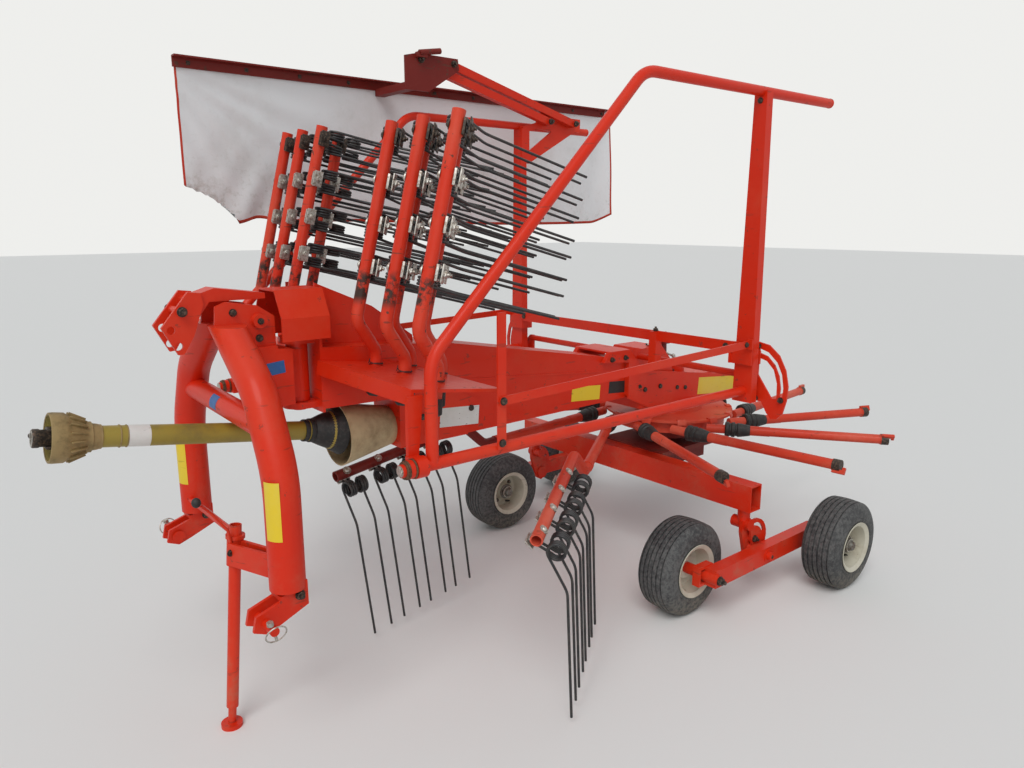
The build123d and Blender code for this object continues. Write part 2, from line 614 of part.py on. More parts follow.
# Curtain linkage on the right hoop: post bracket, two bars, end bracket with the rail, and the cloth
CURTAIN_Z = RAIL_Z + 27.0
PIVOT_A = (1352.0, CURTAIN_Z)
PIVOT_B = (1534.0, CURTAIN_Z + 2.0)
BAR_DY = -807.0
BAR_DZ = 206.0
BAR_X0, BAR_X1 = -680.0, -646.0
BAR_DEPTH = 36.0
END_X0, END_X1 = -640.0, -630.0
z = CURTAIN_Z
tri = [(1200, z - 190), (1240, z - 215), (1612, z - 12), (1612, z + 34), (1330, z + 34), (1290, z - 6), (1200, z - 30)]
hole = [(1245, z - 150), (1245, z - 50), (1300, z - 34), (1400, z - 44)]
bracket = plate_yz(tri, -696, BAR_X0 - 6) - plate_yz(hole, -697, BAR_X0 - 5)
bracket += box(-712, BAR_X0 - 6, 1192, 1240, z - 185, z - 40)
bracket += box(-712, BAR_X0 - 6, 1570, 1610, z - 34, z + 8)
for y, z in (PIVOT_A, PIVOT_B):
    bracket += rod((BAR_X1 + 8, y, z), (BAR_X0 - 7, y, z), 10)
node("curtain_bracket", bracket - flip(hoop_post()) - flip(hoop()))


def link_bar(pivot):
    y, z = pivot
    length = hypot(BAR_DY, BAR_DZ)
    slope = degrees(atan2(BAR_DZ, BAR_DY))
    middle = (BAR_X0 + BAR_X1) / 2
    bar = Pos(middle, y, z) * Rot(slope, 0, 0) * (Pos(0, length / 2, 0) * Box(BAR_X1 - BAR_X0, length - 30, BAR_DEPTH))
    for py, pz in ((y, z), (y + BAR_DY, z + BAR_DZ)):
        bar += rod((BAR_X0, py, pz), (BAR_X1, py, pz), 19)
    for py, pz in ((y, z), (y + BAR_DY, z + BAR_DZ)):
        bar -= rod((BAR_X0 - 2, py, pz), (BAR_X1 + 2, py, pz), 10 + FIT)
    return bar


node("curtain_bar_front", link_bar(PIVOT_A))
node("curtain_bar_rear", link_bar(PIVOT_B))

ya, za = PIVOT_A[0] + BAR_DY, PIVOT_A[1] + BAR_DZ
yb, zb = PIVOT_B[0] + BAR_DY, PIVOT_B[1] + BAR_DZ
RAIL_TOP = CURTAIN_Z + 141.0
end = plate_yz([(ya - 84, RAIL_TOP - 70), (ya + 40, RAIL_TOP - 70), (yb + 30, zb - 26), (yb + 24, zb + 24),
                (ya - 20, za + 26), (ya - 84, za + 10)], END_X0, END_X1)
for y, z in ((ya, za), (yb, zb)):
    end += rod((END_X0 + 1, y, z), (BAR_X0 - 5, y, z), 10)
end += rod((END_X1 + 20, ya - 20, za + 24), (END_X1 + 20, ya + 92, za + 44), 13)
end += box(END_X1 - 1, END_X1 + 26, ya - 30, ya + 20, za + 6, za + 28)
end += box(-903, END_X1, ya - 84, ya - 36, RAIL_TOP - 70, RAIL_TOP - 38)
rail = box(-906, -900, -462, 2075, RAIL_TOP - 44, RAIL_TOP)
rail += box(-900, -868, -462, 2075, RAIL_TOP - 6, RAIL_TOP)
node("curtain_end", end + rail)
cloth = box(-912, -906.5, -455, 2068, RAIL_TOP - 664, RAIL_TOP - 6)
cloth += rod((-912, -455, RAIL_TOP - 6), (-912, 2068, RAIL_TOP - 6), 5)
node("curtain_cloth", cloth)

os.makedirs("parts", exist_ok=True)
for name, shape in NODES.items():
    export_step(shape, "parts/" + name + ".step")
low = min(s.bounding_box().min.Z for s in NODES.values())
lo_y = min(s.bounding_box().min.Y for s in NODES.values())
hi_y = max(s.bounding_box().max.Y for s in NODES.values())
lo_x = min(s.bounding_box().min.X for s in NODES.values())
hi_x = max(s.bounding_box().max.X for s in NODES.values())
print("nodes", len(NODES), "x", round(lo_x, 1), round(hi_x, 1), "y", round(lo_y, 1), round(hi_y, 1),
      "low", round(low, 2))
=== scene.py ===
import json
from math import atan2, cos, degrees, pi, radians, sin, tan

import bmesh
import bpy
from mathutils import Matrix, Vector


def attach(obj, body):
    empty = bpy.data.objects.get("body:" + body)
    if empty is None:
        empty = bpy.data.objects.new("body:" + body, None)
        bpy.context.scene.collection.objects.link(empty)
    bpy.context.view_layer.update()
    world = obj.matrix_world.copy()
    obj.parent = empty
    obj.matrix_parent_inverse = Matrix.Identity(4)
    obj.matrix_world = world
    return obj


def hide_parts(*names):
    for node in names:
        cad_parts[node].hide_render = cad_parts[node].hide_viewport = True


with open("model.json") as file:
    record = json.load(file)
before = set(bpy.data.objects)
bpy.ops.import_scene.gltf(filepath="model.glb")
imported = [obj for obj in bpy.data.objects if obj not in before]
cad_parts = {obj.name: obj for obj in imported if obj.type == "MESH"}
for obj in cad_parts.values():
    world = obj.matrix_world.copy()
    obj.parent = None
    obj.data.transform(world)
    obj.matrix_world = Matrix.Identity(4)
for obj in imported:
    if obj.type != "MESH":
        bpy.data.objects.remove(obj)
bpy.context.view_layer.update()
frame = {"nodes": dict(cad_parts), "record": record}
NODES = frame["nodes"]

# View, light and floor. The camera stands at the left front corner, where the photographer stood, and
# the daylight is that of an overcast sky with a broad soft sun from the front.
camera_data = bpy.data.cameras.new("camera")
camera_data.lens = 27.02
camera_data.sensor_width = 36.0
camera = bpy.data.objects.new("camera", camera_data)
camera.location = (2.4908, -2.2417, 1.6359)
camera.rotation_euler = (radians(77.96), 0.0, radians(50.40))
bpy.context.scene.collection.objects.link(camera)
bpy.context.scene.camera = camera
bpy.context.scene.view_settings.view_transform = "Standard"

SKY = 0.46
SUN = 1.35
PALE = (0.86, 0.86, 0.84, 1.0)


def lamp(name, kind, place, turn, energy, size):
    data = bpy.data.lights.new(name, kind)
    data.energy = energy
    if kind == "SUN":
        data.angle = size
    else:
        data.size = size
    made = bpy.data.objects.new(name, data)
    made.location = place
    made.rotation_euler = turn
    bpy.context.scene.collection.objects.link(made)
    return made


lamp("sun", "SUN", (3, -4, 6), (radians(38), radians(14), radians(20)), SUN, radians(35))
lamp("fill", "AREA", (4.5, -3.5, 2.2), (radians(68), 0.0, radians(52)), 28.0, 4.0)

world = bpy.data.worlds.new("sky")
bpy.context.scene.world = world
world.use_nodes = True
tree = world.node_tree
tree.nodes.clear()
seen = tree.nodes.new("ShaderNodeBackground")
seen.inputs["Color"].default_value = PALE
seen.inputs["Strength"].default_value = 1.0
lit = tree.nodes.new("ShaderNodeBackground")
lit.inputs["Color"].default_value = (0.93, 0.96, 1.0, 1.0)
lit.inputs["Strength"].default_value = SKY
ray = tree.nodes.new("ShaderNodeLightPath")
pick = tree.nodes.new("ShaderNodeMixShader")
out = tree.nodes.new("ShaderNodeOutputWorld")
either = tree.nodes.new("ShaderNodeMath")
either.operation = "MAXIMUM"
tree.links.new(ray.outputs["Is Camera Ray"], either.inputs[0])
tree.links.new(ray.outputs["Is Glossy Ray"], either.inputs[1])
tree.links.new(either.outputs[0], pick.inputs["Fac"])
tree.links.new(lit.outputs[0], pick.inputs[1])
tree.links.new(seen.outputs[0], pick.inputs[2])
tree.links.new(pick.outputs[0], out.inputs["Surface"])


# Paint and the other finishes. A farm machine's enamel is bright where it is sheltered, chalky where
# the sun reached it, scuffed to primer where hands and other pieces rub, and dusty towards the
# ground.
class Value:
    """One socket of a material, so that a pattern is written as plain arithmetic."""

    def __init__(self, finish, socket):
        self.finish = finish
        self.socket = socket

    def _math(self, operation, first, second):
        node = self.finish.node("ShaderNodeMath", {"operation": operation}, {0: first, 1: second})
        return Value(self.finish, node.outputs[0])

    def __add__(self, other):
        return self._math("ADD", self, other)

    def __radd__(self, other):
        return self._math("ADD", other, self)

    def __sub__(self, other):
        return self._math("SUBTRACT", self, other)

    def __rsub__(self, other):
        return self._math("SUBTRACT", other, self)

    def __mul__(self, other):
        return self._math("MULTIPLY", self, other)

    def __rmul__(self, other):
        return self._math("MULTIPLY", other, self)

    def __truediv__(self, other):
        return self._math("DIVIDE", self, other)

    def highest(self, other):
        return self._math("MAXIMUM", self, other)


class Finish:
    """A material whose nodes come from one method."""

    def __init__(self, name):
        self.material = bpy.data.materials.new(name)
        self.material.use_nodes = True
        self.tree = self.material.node_tree
        self.tree.nodes.clear()
        self.shader = self.node("ShaderNodeBsdfPrincipled", {}, {})
        end = self.node("ShaderNodeOutputMaterial", {}, {})
        self.tree.links.new(self.shader.outputs[0], end.inputs["Surface"])
        place = self.node("ShaderNodeTexCoord", {}, {})
        self.at = Value(self, place.outputs["Object"])

    def node(self, kind, settings, inputs):
        made = self.tree.nodes.new(kind)
        for key, setting in settings.items():
            if key == "stops":
                ramp = made.color_ramp
                while len(ramp.elements) < len(setting):
                    ramp.elements.new(0.5)
                for element, (position, colour) in zip(ramp.elements, setting):
                    element.position = position
                    element.color = colour
            else:
                setattr(made, key, setting)
        for key, value in inputs.items():
            self.feed(made.inputs[key], value)
        return made

    def feed(self, socket, value):
        if isinstance(value, Value):
            self.tree.links.new(value.socket, socket)
        elif isinstance(value, (tuple, list)) and len(value) == 3 and socket.type == "RGBA":
            socket.default_value = (*value, 1.0)
        else:
            socket.default_value = value

    def set(self, **inputs):
        for key, value in inputs.items():
            self.feed(self.shader.inputs[key.replace("_", " ")], value)
        return self

    def noise(self, scale, detail=4.0, rough=0.55, at=None, distortion=0.0):
        inputs = {"Vector": at or self.at, "Scale": scale, "Detail": detail, "Roughness": rough,
                  "Distortion": distortion}
        return Value(self, self.node("ShaderNodeTexNoise", {}, inputs).outputs["Fac"])

    def stretched(self, scale, move=(0.0, 0.0, 0.0)):
        made = self.node("ShaderNodeMapping", {}, {"Vector": self.at, "Scale": scale, "Location": move})
        return Value(self, made.outputs["Vector"])

    def axis(self, name):
        return Value(self, self.node("ShaderNodeSeparateXYZ", {}, {"Vector": self.at}).outputs[name])

    def rise(self, value, low, high, start=0.0, end=1.0):
        inputs = {"Value": value, "From Min": low, "From Max": high, "To Min": start, "To Max": end}
        made = self.node("ShaderNodeMapRange", {"interpolation_type": "SMOOTHSTEP"}, inputs)
        return Value(self, made.outputs["Result"])

    def mix(self, first, second, share):
        made = self.node("ShaderNodeMix", {"data_type": "RGBA"}, {0: share})
        self.feed(made.inputs[6], first)
        self.feed(made.inputs[7], second)
        return Value(self, made.outputs[2])

    def bump(self, height, strength, depth=0.001):
        made = self.node("ShaderNodeBump", {}, {"Height": height, "Strength": strength, "Distance": depth})
        return Value(self, made.outputs["Normal"])


DUST = (0.30, 0.24, 0.15)
PRIMER = (0.10, 0.045, 0.03)
RUST = (0.16, 0.055, 0.02)


def enamel(name, fresh, chalky, fade=0.5, scuffs=0.5, rust=0.1, shine=0.32, dust=0.5, worn=None):
    made = Finish(name)
    broad = made.noise(2.2, 5.0)
    fine = made.noise(48.0, 6.0, 0.65)
    tone = made.mix(fresh, chalky, made.rise(broad + 0.25 * fine, 0.52, 0.86) * fade)
    low = made.rise(made.axis("Z"), 0.9, 0.05)
    drift = made.rise(made.noise(9.0, 8.0, 0.7), 0.48, 0.78) * (0.12 + low * 0.6) * dust
    tone = made.mix(tone, DUST, drift)
    scratch = made.rise(made.noise(1.0, 3.0, 0.5, made.stretched((9.0, 9.0, 60.0))), 0.655, 0.70)
    chips = made.rise(made.noise(26.0, 4.0, 0.6), 0.665, 0.69).highest(scratch * 0.7) * scuffs
    tone = made.mix(tone, PRIMER, chips)
    patch = made.rise(made.noise(6.0, 10.0, 0.75), 0.70 - 0.1 * rust, 0.76) * rust
    tone = made.mix(tone, RUST, patch)
    if worn:
        # A band of rubbed and greasy paint between two heights, where the pieces touch when they are stored.
        low, high = worn
        height = made.axis("Z")
        band = made.rise(height, low - 0.03, low + 0.01) * made.rise(height, high + 0.04, high)
        tone = made.mix(tone, (0.045, 0.022, 0.016), band * made.rise(made.noise(24.0, 6.0, 0.7), 0.42, 0.56))
    rough = shine + 0.25 * fine + 0.3 * drift.highest(chips).highest(patch)
    ripple = made.noise(90.0, 3.0)
    made.set(Base_Color=tone, Roughness=rough, Normal=made.bump(ripple - chips * 0.8, 0.12))
    made.set(Coat_Weight=0.12)
    made.shader.inputs["Coat Roughness"].default_value = 0.12
    made.shader.inputs["Specular IOR Level"].default_value = 0.22
    return made.material


RED = enamel("red_enamel", (0.66, 0.022, 0.003), (0.68, 0.060, 0.022))
# Painted shade: this red is darkened to stand for shade on the shaded mounted arm, the shaft hook, the head
# mast and the dark_paint parts. Its rust and scuffs are wear.
SHADE_DARKENED_RED = enamel("shade_darkened_enamel", (0.17, 0.012, 0.008), (0.26, 0.04, 0.03), scuffs=0.8, rust=0.5, shine=0.5)
FADED = enamel("sun_faded_enamel", (0.60, 0.045, 0.018), (0.66, 0.13, 0.075), fade=0.9, scuffs=0.6, rust=0.2,
               shine=0.45)
STORED_RED = enamel("stored_enamel", (0.64, 0.030, 0.008), (0.66, 0.085, 0.042), fade=0.8, scuffs=0.9,
                    rust=0.15, shine=0.4,
                    worn=(1.385, 1.45))
CREAM = enamel("cream_enamel", (0.58, 0.55, 0.45), (0.50, 0.46, 0.35), scuffs=0.4, rust=0.9, shine=0.45,
               dust=0.7)
HEM = enamel("red_binding", (0.48, 0.03, 0.012), (0.60, 0.12, 0.07), scuffs=0.4, rust=0.0, shine=0.6)
LABEL_YELLOW = enamel("yellow_foil", (0.78, 0.56, 0.03), (0.74, 0.60, 0.16), scuffs=0.35, rust=0.0,
                      shine=0.35, dust=0.2)
LABEL_WHITE = enamel("white_foil", (0.70, 0.70, 0.67), (0.52, 0.50, 0.44), scuffs=0.9, rust=0.1, shine=0.4,
                     dust=0.8)
LABEL_BLACK = enamel("black_foil", (0.02, 0.02, 0.02), (0.06, 0.05, 0.05), scuffs=0.2, rust=0.1, shine=0.4,
                     dust=0.4)
LABEL_BLUE = enamel("blue_foil", (0.02, 0.11, 0.34), (0.10, 0.22, 0.42), scuffs=0.4, rust=0.0, shine=0.35,
                    dust=0.2)


def plain(name, colour, other, rough, metal=0.0, grain=30.0, depth=0.15):
    made = Finish(name)
    grime = made.noise(grain, 6.0, 0.65)
    made.set(Base_Color=made.mix(colour, other, made.rise(grime, 0.42, 0.72)),
             Roughness=rough + 0.2 * grime, Normal=made.bump(grime, depth))
    made.shader.inputs["Metallic"].default_value = metal
    return made.material


BLACK_STEEL = plain("black_spring_steel", (0.012, 0.012, 0.014), (0.05, 0.045, 0.04), 0.35)
BARE_STEEL = plain("bare_steel", (0.52, 0.50, 0.46), (0.20, 0.14, 0.09), 0.34, 0.8, 110.0)
DARK_BOLT = plain("blackened_bolts", (0.035, 0.028, 0.024), (0.15, 0.10, 0.07), 0.42, 0.55, 120.0)
HUB_STEEL = plain("dull_hub_steel", (0.20, 0.19, 0.17), (0.10, 0.06, 0.035), 0.45, 0.6, 60.0)
RUSTY = plain("brown_washers", (0.17, 0.09, 0.05), (0.07, 0.03, 0.018), 0.6, 0.5, 90.0)
GREASE = plain("black_grease", (0.006, 0.005, 0.004), (0.05, 0.02, 0.012), 0.24, 0.0, 34.0, 0.3)
RUBBER = plain("black_rubber", (0.010, 0.010, 0.010), (0.035, 0.033, 0.030), 0.5, 0.0, 60.0, 0.3)
OLIVE = plain("olive_plastic", (0.30, 0.225, 0.030), (0.20, 0.15, 0.035), 0.38, 0.0, 9.0, 0.08)
BELL = plain("dusty_plastic", (0.30, 0.21, 0.085), (0.17, 0.12, 0.045), 0.55, 0.0, 26.0)
BEIGE = plain("stained_plastic", (0.46, 0.36, 0.20), (0.22, 0.15, 0.07), 0.5, 0.0, 7.0)


def worn_rubber():
    # Black where it is sheltered, dusty grey on the ribs, with small cuts.
    made = Finish("tyre_rubber")
    fine = made.noise(70.0, 8.0, 0.7)
    broad = made.noise(5.0, 6.0, 0.6)
    grey = made.rise(fine + 0.5 * broad, 0.62, 0.92)
    tone = made.mix((0.028, 0.028, 0.030), (0.115, 0.115, 0.112), grey)
    tone = made.mix(tone, (0.19, 0.165, 0.12), made.rise(made.axis("Z"), 0.16, 0.0) * made.rise(fine, 0.35,
                                                                                                0.65) * 0.7)
    made.set(Base_Color=tone, Roughness=0.62 + 0.25 * grey, Normal=made.bump(fine, 0.35))
    return made.material


def coated_cloth():
    # White coating over a fine weave, greyed by dirt near the lower edge and brown at the front corner.
    made = Finish("curtain_cloth")
    broad = made.noise(3.0, 6.0, 0.6)
    fine = made.noise(34.0, 7.0, 0.7)
    low = made.rise(made.axis("Z"), 2.02, 1.62)
    tone = made.mix((0.76, 0.775, 0.78), (0.66, 0.665, 0.655), made.rise(broad, 0.45, 0.75))
    tone = made.mix(tone, (0.45, 0.44, 0.40), made.rise(fine + 0.4 * broad, 0.72, 0.95) * (0.15 + 0.55 * low))
    corner = made.rise(made.axis("Y"), -0.95, -1.21) * made.rise(made.axis("Z"), 1.86, 1.70)
    tone = made.mix(tone, (0.25, 0.19, 0.12), corner * made.rise(fine, 0.35, 0.62) * 0.8)
    thread = made.node("ShaderNodeTexWave", {"bands_direction": "Y"}, {"Vector": made.at, "Scale": 160.0})
    cross = made.node("ShaderNodeTexWave", {"bands_direction": "Z"}, {"Vector": made.at, "Scale": 160.0})
    weave_height = Value(made, thread.outputs["Fac"]) + Value(made, cross.outputs["Fac"])
    made.set(Base_Color=tone, Roughness=0.55 + 0.2 * fine,
             Normal=made.bump(weave_height + 2.0 * fine, 0.12, 0.0006))
    return made.material


TYRE = worn_rubber()
CLOTH = coated_cloth()

FINISH_OF_SLOT = {"red_paint": RED, "dark_paint": SHADE_DARKENED_RED, "faded_paint": FADED, "cream_paint": CREAM,
                  "black_steel": BLACK_STEEL, "worn_steel": BARE_STEEL, "black_rubber": RUBBER,
                  "olive_plastic": OLIVE, "beige_plastic": BEIGE, "tyre": TYRE, "cloth": CLOTH}
for entry in frame["record"]["subparts"]:
    mesh = NODES[entry["node"]].data
    mesh.materials.clear()
    mesh.materials.append(FINISH_OF_SLOT[entry["material_slot"]])

# Floor. A pale level ground that catches the shadow, and looks like the backdrop from the camera.
floor_mesh = bpy.data.meshes.new("floor")
bm = bmesh.new()
bmesh.ops.create_grid(bm, x_segments=1, y_segments=1, size=40.0)
bm.to_mesh(floor_mesh)
bm.free()
floor = bpy.data.objects.new("floor", floor_mesh)
bpy.context.scene.collection.objects.link(floor)
ground = Finish("pale_floor")
ground.set(Base_Color=(0.80, 0.80, 0.78), Roughness=0.9)
floor_mesh.materials.append(ground.material)


# Long tine arms. Bent steel tube, open at its outer end, painted. It rises out of the rotor's short
# arm in an S-bend and then slopes along the line on which the tines are bolted. Places are in the
# shop drawing's millimetres, whose lengthways zero lies 740 behind the middle of the machine.
LENGTHWAYS_ZERO = 740.0


def mm(x, y, z):
    return Vector((x, y - LENGTHWAYS_ZERO, z)) / 1000.0


def shift(x, y, z):
    return Matrix.Translation(Vector((x, y, z)) / 1000.0)


def turn(degrees, axis):
    return Matrix.Rotation(radians(degrees), 4, axis)


def facing(point, direction):
    return Matrix.Translation(point) @ Vector(direction).to_track_quat("Z", "Y").to_matrix().to_4x4()


def ring(bm, place, radius, sides):
    # An open ring of wire or tube in the place's local XY plane.
    made = bmesh.ops.create_circle(bm, segments=sides, radius=radius, matrix=place)["verts"]
    return list({edge for vert in made for edge in vert.link_edges})


def ring_verts(edges):
    return list({vert for edge in edges for vert in edge.verts})


def run(bm, edges, move):
    made = bmesh.ops.extrude_edge_only(bm, edges=edges)["geom"]
    bmesh.ops.translate(bm, vec=move, verts=[g for g in made if isinstance(g, bmesh.types.BMVert)])
    return [g for g in made if isinstance(g, bmesh.types.BMEdge)]


def bend(bm, edges, centre, axis, angle, steps, rise=(0, 0, 0)):
    made = bmesh.ops.spin(bm, geom=edges, cent=centre, axis=axis, angle=angle, steps=steps,
                          dvec=Vector(rise) / steps, use_duplicate=False, use_merge=False)["geom_last"]
    return [g for g in made if isinstance(g, bmesh.types.BMEdge)]


def along(bm, points, bends, radius, sides=16, steps=6):
    # A tube through the points, with an arc of the given radius at each inner one. Returns its last ring.
    points = [Vector(p) for p in points]
    here = points[0]
    edges = ring(bm, facing(here, points[1] - here), radius, sides)
    start = edges
    for corner, after, arc in zip(points[1:-1], points[2:], bends):
        before = (corner - here).normalized()
        leave = (after - corner).normalized()
        angle = before.angle(leave)
        cut = arc * (1 - cos(angle)) / sin(angle)
        edges = run(bm, edges, corner - before * cut - here)
        here = corner - before * cut
        axis = before.cross(leave).normalized()
        edges = bend(bm, edges, here + axis.cross(before) * arc, axis, angle, steps)
        here = corner + leave * cut
    edges = run(bm, edges, points[-1] - here)
    return start, edges


def closed(bm, edges):
    bmesh.ops.contextual_create(bm, geom=edges)


def open_end(bm, edges, inwards, wall):
    # The tube's cut end: its wall, and the bore that runs back inside.
    middle = sum((v.co for v in ring_verts(edges)), Vector()) / len(ring_verts(edges))
    radius = (ring_verts(edges)[0].co - middle).length
    inner = run(bm, edges, Vector())
    bmesh.ops.scale(bm, vec=(1 - wall / radius,) * 3, space=Matrix.Translation(-middle),
                    verts=ring_verts(inner))
    inner = run(bm, inner, inwards)
    closed(bm, inner)


def fixed(name, bm, finish, body, sharp=38.0, merge=1e-6):
    bmesh.ops.remove_doubles(bm, verts=bm.verts, dist=merge)
    bmesh.ops.recalc_face_normals(bm, faces=bm.faces)
    for face in bm.faces:
        face.smooth = True
    for edge in bm.edges:
        if len(edge.link_faces) == 2 and edge.calc_face_angle(0.0) > radians(sharp):
            edge.smooth = False
    mesh = bpy.data.meshes.new(name)
    bm.to_mesh(mesh)
    bm.free()
    mesh.materials.append(finish)
    piece = bpy.data.objects.new(name, mesh)
    bpy.context.scene.collection.objects.link(piece)
    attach(piece, body)
    return piece


def copies(bm, pattern, places):
    # The same shape once more at each place.
    for place in places:
        before = len(bm.verts)
        bm.from_mesh(pattern)
        bm.verts.ensure_lookup_table()
        bmesh.ops.transform(bm, matrix=place, verts=bm.verts[before:])


def pattern_of(bm):
    bmesh.ops.recalc_face_normals(bm, faces=bm.faces)
    mesh = bpy.data.meshes.new("pattern")
    bm.to_mesh(mesh)
    bm.free()
    return mesh


ARM_RADIUS = 0.021
ARM_WALL = 0.0045
ARM_LENGTH = 0.824
ARM_BEND = 0.062
ARM_SIDE = 0.0235
ARM_CREST = (0.168, 0.101)
ARM_SLOPE = 6.7


def rise_at(place_along):
    return ARM_CREST[1] - (place_along - ARM_CREST[0]) * tan(radians(ARM_SLOPE))


def long_arm(plug):
    bm = bmesh.new()
    points = [(-0.001, 0, 0), (0.062, 0, 0), (ARM_CREST[0], -ARM_SIDE, ARM_CREST[1]),
              (ARM_LENGTH, -ARM_SIDE, rise_at(ARM_LENGTH))]
    first, last = along(bm, points, (ARM_BEND, ARM_BEND), ARM_RADIUS, 20, 7)
    open_end(bm, last, Vector((-0.05, 0, 0.006)), ARM_WALL)
    root = run(bm, first, Vector())
    bmesh.ops.scale(bm, vec=(0.94,) * 3, verts=ring_verts(root))
    closed(bm, run(bm, root, Vector((-plug, 0, 0))))
    return pattern_of(bm)


ROTOR_Y = 1618.0
SPOKE_Z = 650.0
SPOKE_TURN = 5.8
SPOKE_SIDE = 265.0
SPOKE_END = 1009.0


def spoke(number):
    return Matrix.Translation(mm(0, ROTOR_Y, SPOKE_Z)) @ turn(SPOKE_TURN + 30.0 * number, "Z")


MOUNTED = [spoke(k) @ shift(SPOKE_END + 1, -SPOKE_SIDE, 0) for k in (9, 10)]
# The shaded arm takes the darkened red, which is painted shade. The other arm takes the faded enamel.
bm = bmesh.new()
copies(bm, long_arm(0.001), MOUNTED[:1])
arm_a = fixed("mounted_arm_shaded", bm, SHADE_DARKENED_RED, "rotor")
bm = bmesh.new()
copies(bm, long_arm(0.001), MOUNTED[1:])
arm_b = fixed("mounted_arm_bright", bm, FADED, "rotor")
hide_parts("tine_arms")

# The arms that are taken off stand in the rack's two rows of holes, their prongs turned inwards on
# the left half.
RACK = Matrix.Translation(mm(0, -372, 1169)) @ turn(-7.5, "X")
HOLES = {"left": [(555, 173, 0, 16), (367, 173, 0, 16), (180, 173, 0, 16), (229.5, 281, 0, 16),
                  (416.5, 281, 0, 16)],
         "right": [(-290, 173, -44, -12), (-458, 173, -44, -12), (-600, 173, -44, -12), (-362, 281, -44, -12),
                   (-530, 281, -44, -12)]}
STORED = {}
for tag, holes in HOLES.items():
    STORED[tag] = [RACK @ shift(x, y, -seat) @ turn(around - 90, "Z") @ turn(-90, "Y") @ turn(180, "X")
                   for x, y, around, seat in holes]
    bm = bmesh.new()
    copies(bm, long_arm(0.08), STORED[tag])
    stored = fixed("stored_arms_dressed_" + tag, bm, STORED_RED, "main_frame")
    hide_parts("stored_arms_" + tag)


# Below the rack each plug ends in a black rubber cap, and a twist of thin black wire ties the arm to
# the plate.
def rod(bm, start, end, radius, sides=16, radius_end=None):
    start, end = Vector(start), Vector(end)
    other = radius if radius_end is None else radius_end
    return bmesh.ops.create_cone(bm, cap_ends=True, segments=sides, radius1=radius, radius2=other,
                                 depth=(end - start).length,
                                 matrix=facing((start + end) / 2, end - start))["verts"]


bm = bmesh.new()
for arm in STORED["left"] + STORED["right"]:
    rod(bm, arm @ Vector((-0.083, 0, 0)), arm @ Vector((-0.034, 0, 0)), 0.0245, 24, 0.0225)
    rod(bm, arm @ Vector((-0.090, 0, 0)), arm @ Vector((-0.083, 0, 0)), 0.017, 24, 0.0245)
caps = fixed("plug_caps", bm, RUBBER, "main_frame")
bm = bmesh.new()
for number, arm in enumerate(STORED["left"] + STORED["right"]):
    for lift, tilt in ((0.020, 9), (0.026, -14)):
        around = arm @ Matrix.Translation((lift, 0, 0)) @ turn(tilt + 3 * number, "Z")
        loop = ring(bm, around @ Matrix.Translation((0, 0.0235, 0)) @ turn(0, "X"), 0.0012, 6)
        bmesh.ops.spin(bm, geom=loop, cent=around.translation, axis=around.to_3x3() @ Vector((1, 0, 0)),
                       angle=2 * pi, steps=24, use_merge=True, use_duplicate=False)
    along(bm, [arm @ Vector(p) for p in ((0.02, 0.023, 0), (0.012, 0.045, 0.004), (0.032, 0.064, -0.012))],
          (0.008,),
          0.0012, 6, 3)
ties = fixed("wire_ties", bm, RUBBER, "main_frame")


# Double spring tines. One length of hard black wire: a prong with a knee, a coil of three turns, the
# bridge under the clamp, a second coil and a second prong. A bolt through the arm holds the bridge
# between two bare plates.
WIRE = 0.0048
COIL = 0.0282
COIL_AT = Vector((0.0, 0.060, -0.040))
COIL_START = 0.0116
COIL_WIDTH = 0.0294
COIL_ENTRY = 225.0
COIL_TURN = 1060.0
PRONG_KNEE = Vector((0.041, 0.095, -0.175))
PRONG_TIP = Vector((0.041, 0.105, -0.652))
KNEE_BEND = 0.090


def double_tine():
    bm = bmesh.new()
    entry = radians(COIL_ENTRY)
    outwards = Vector((0, cos(entry), sin(entry)))
    first = COIL_AT + outwards * COIL + Vector((COIL_START, 0, 0))
    start = ring(bm, facing(first, (0, -sin(entry), cos(entry))), WIRE, 8)
    bridge = run(bm, start, Vector((0.011, -0.024, -0.025)) - first)
    closed(bm, run(bm, bridge, Vector((-0.011, -0.0005, -0.0005))))
    coil = bend(bm, start, COIL_AT, (1, 0, 0), radians(COIL_TURN), 47, (COIL_WIDTH, 0, 0))
    leave = radians(COIL_ENTRY + COIL_TURN)
    here = COIL_AT + Vector((PRONG_KNEE.x, COIL * cos(leave), COIL * sin(leave)))
    down = (PRONG_KNEE - here).normalized()
    last = (PRONG_TIP - PRONG_KNEE).normalized()
    angle = down.angle(last)
    cut = KNEE_BEND * (1 - cos(angle)) / sin(angle)
    shank = run(bm, coil, PRONG_KNEE - down * cut - here)
    axis = down.cross(last).normalized()
    knee = bend(bm, shank, PRONG_KNEE - down * cut + axis.cross(down) * KNEE_BEND, axis, angle, 5)
    closed(bm, run(bm, knee, PRONG_TIP - PRONG_KNEE - last * cut))
    bmesh.ops.mirror(bm, geom=bm.verts[:] + bm.edges[:] + bm.faces[:], axis="X", merge_dist=1e-7)
    return pattern_of(bm)


def slab(bm, place, size, soften=0.0012, segments=2):
    verts = bmesh.ops.create_cube(bm, size=1.0, matrix=place @ Matrix.Diagonal((*size, 1.0)))["verts"]
    edges = list({edge for vert in verts for edge in vert.link_edges})
    bmesh.ops.bevel(bm, geom=edges, offset=soften, segments=segments, affect="EDGES", profile=0.5,
                    material=-1)


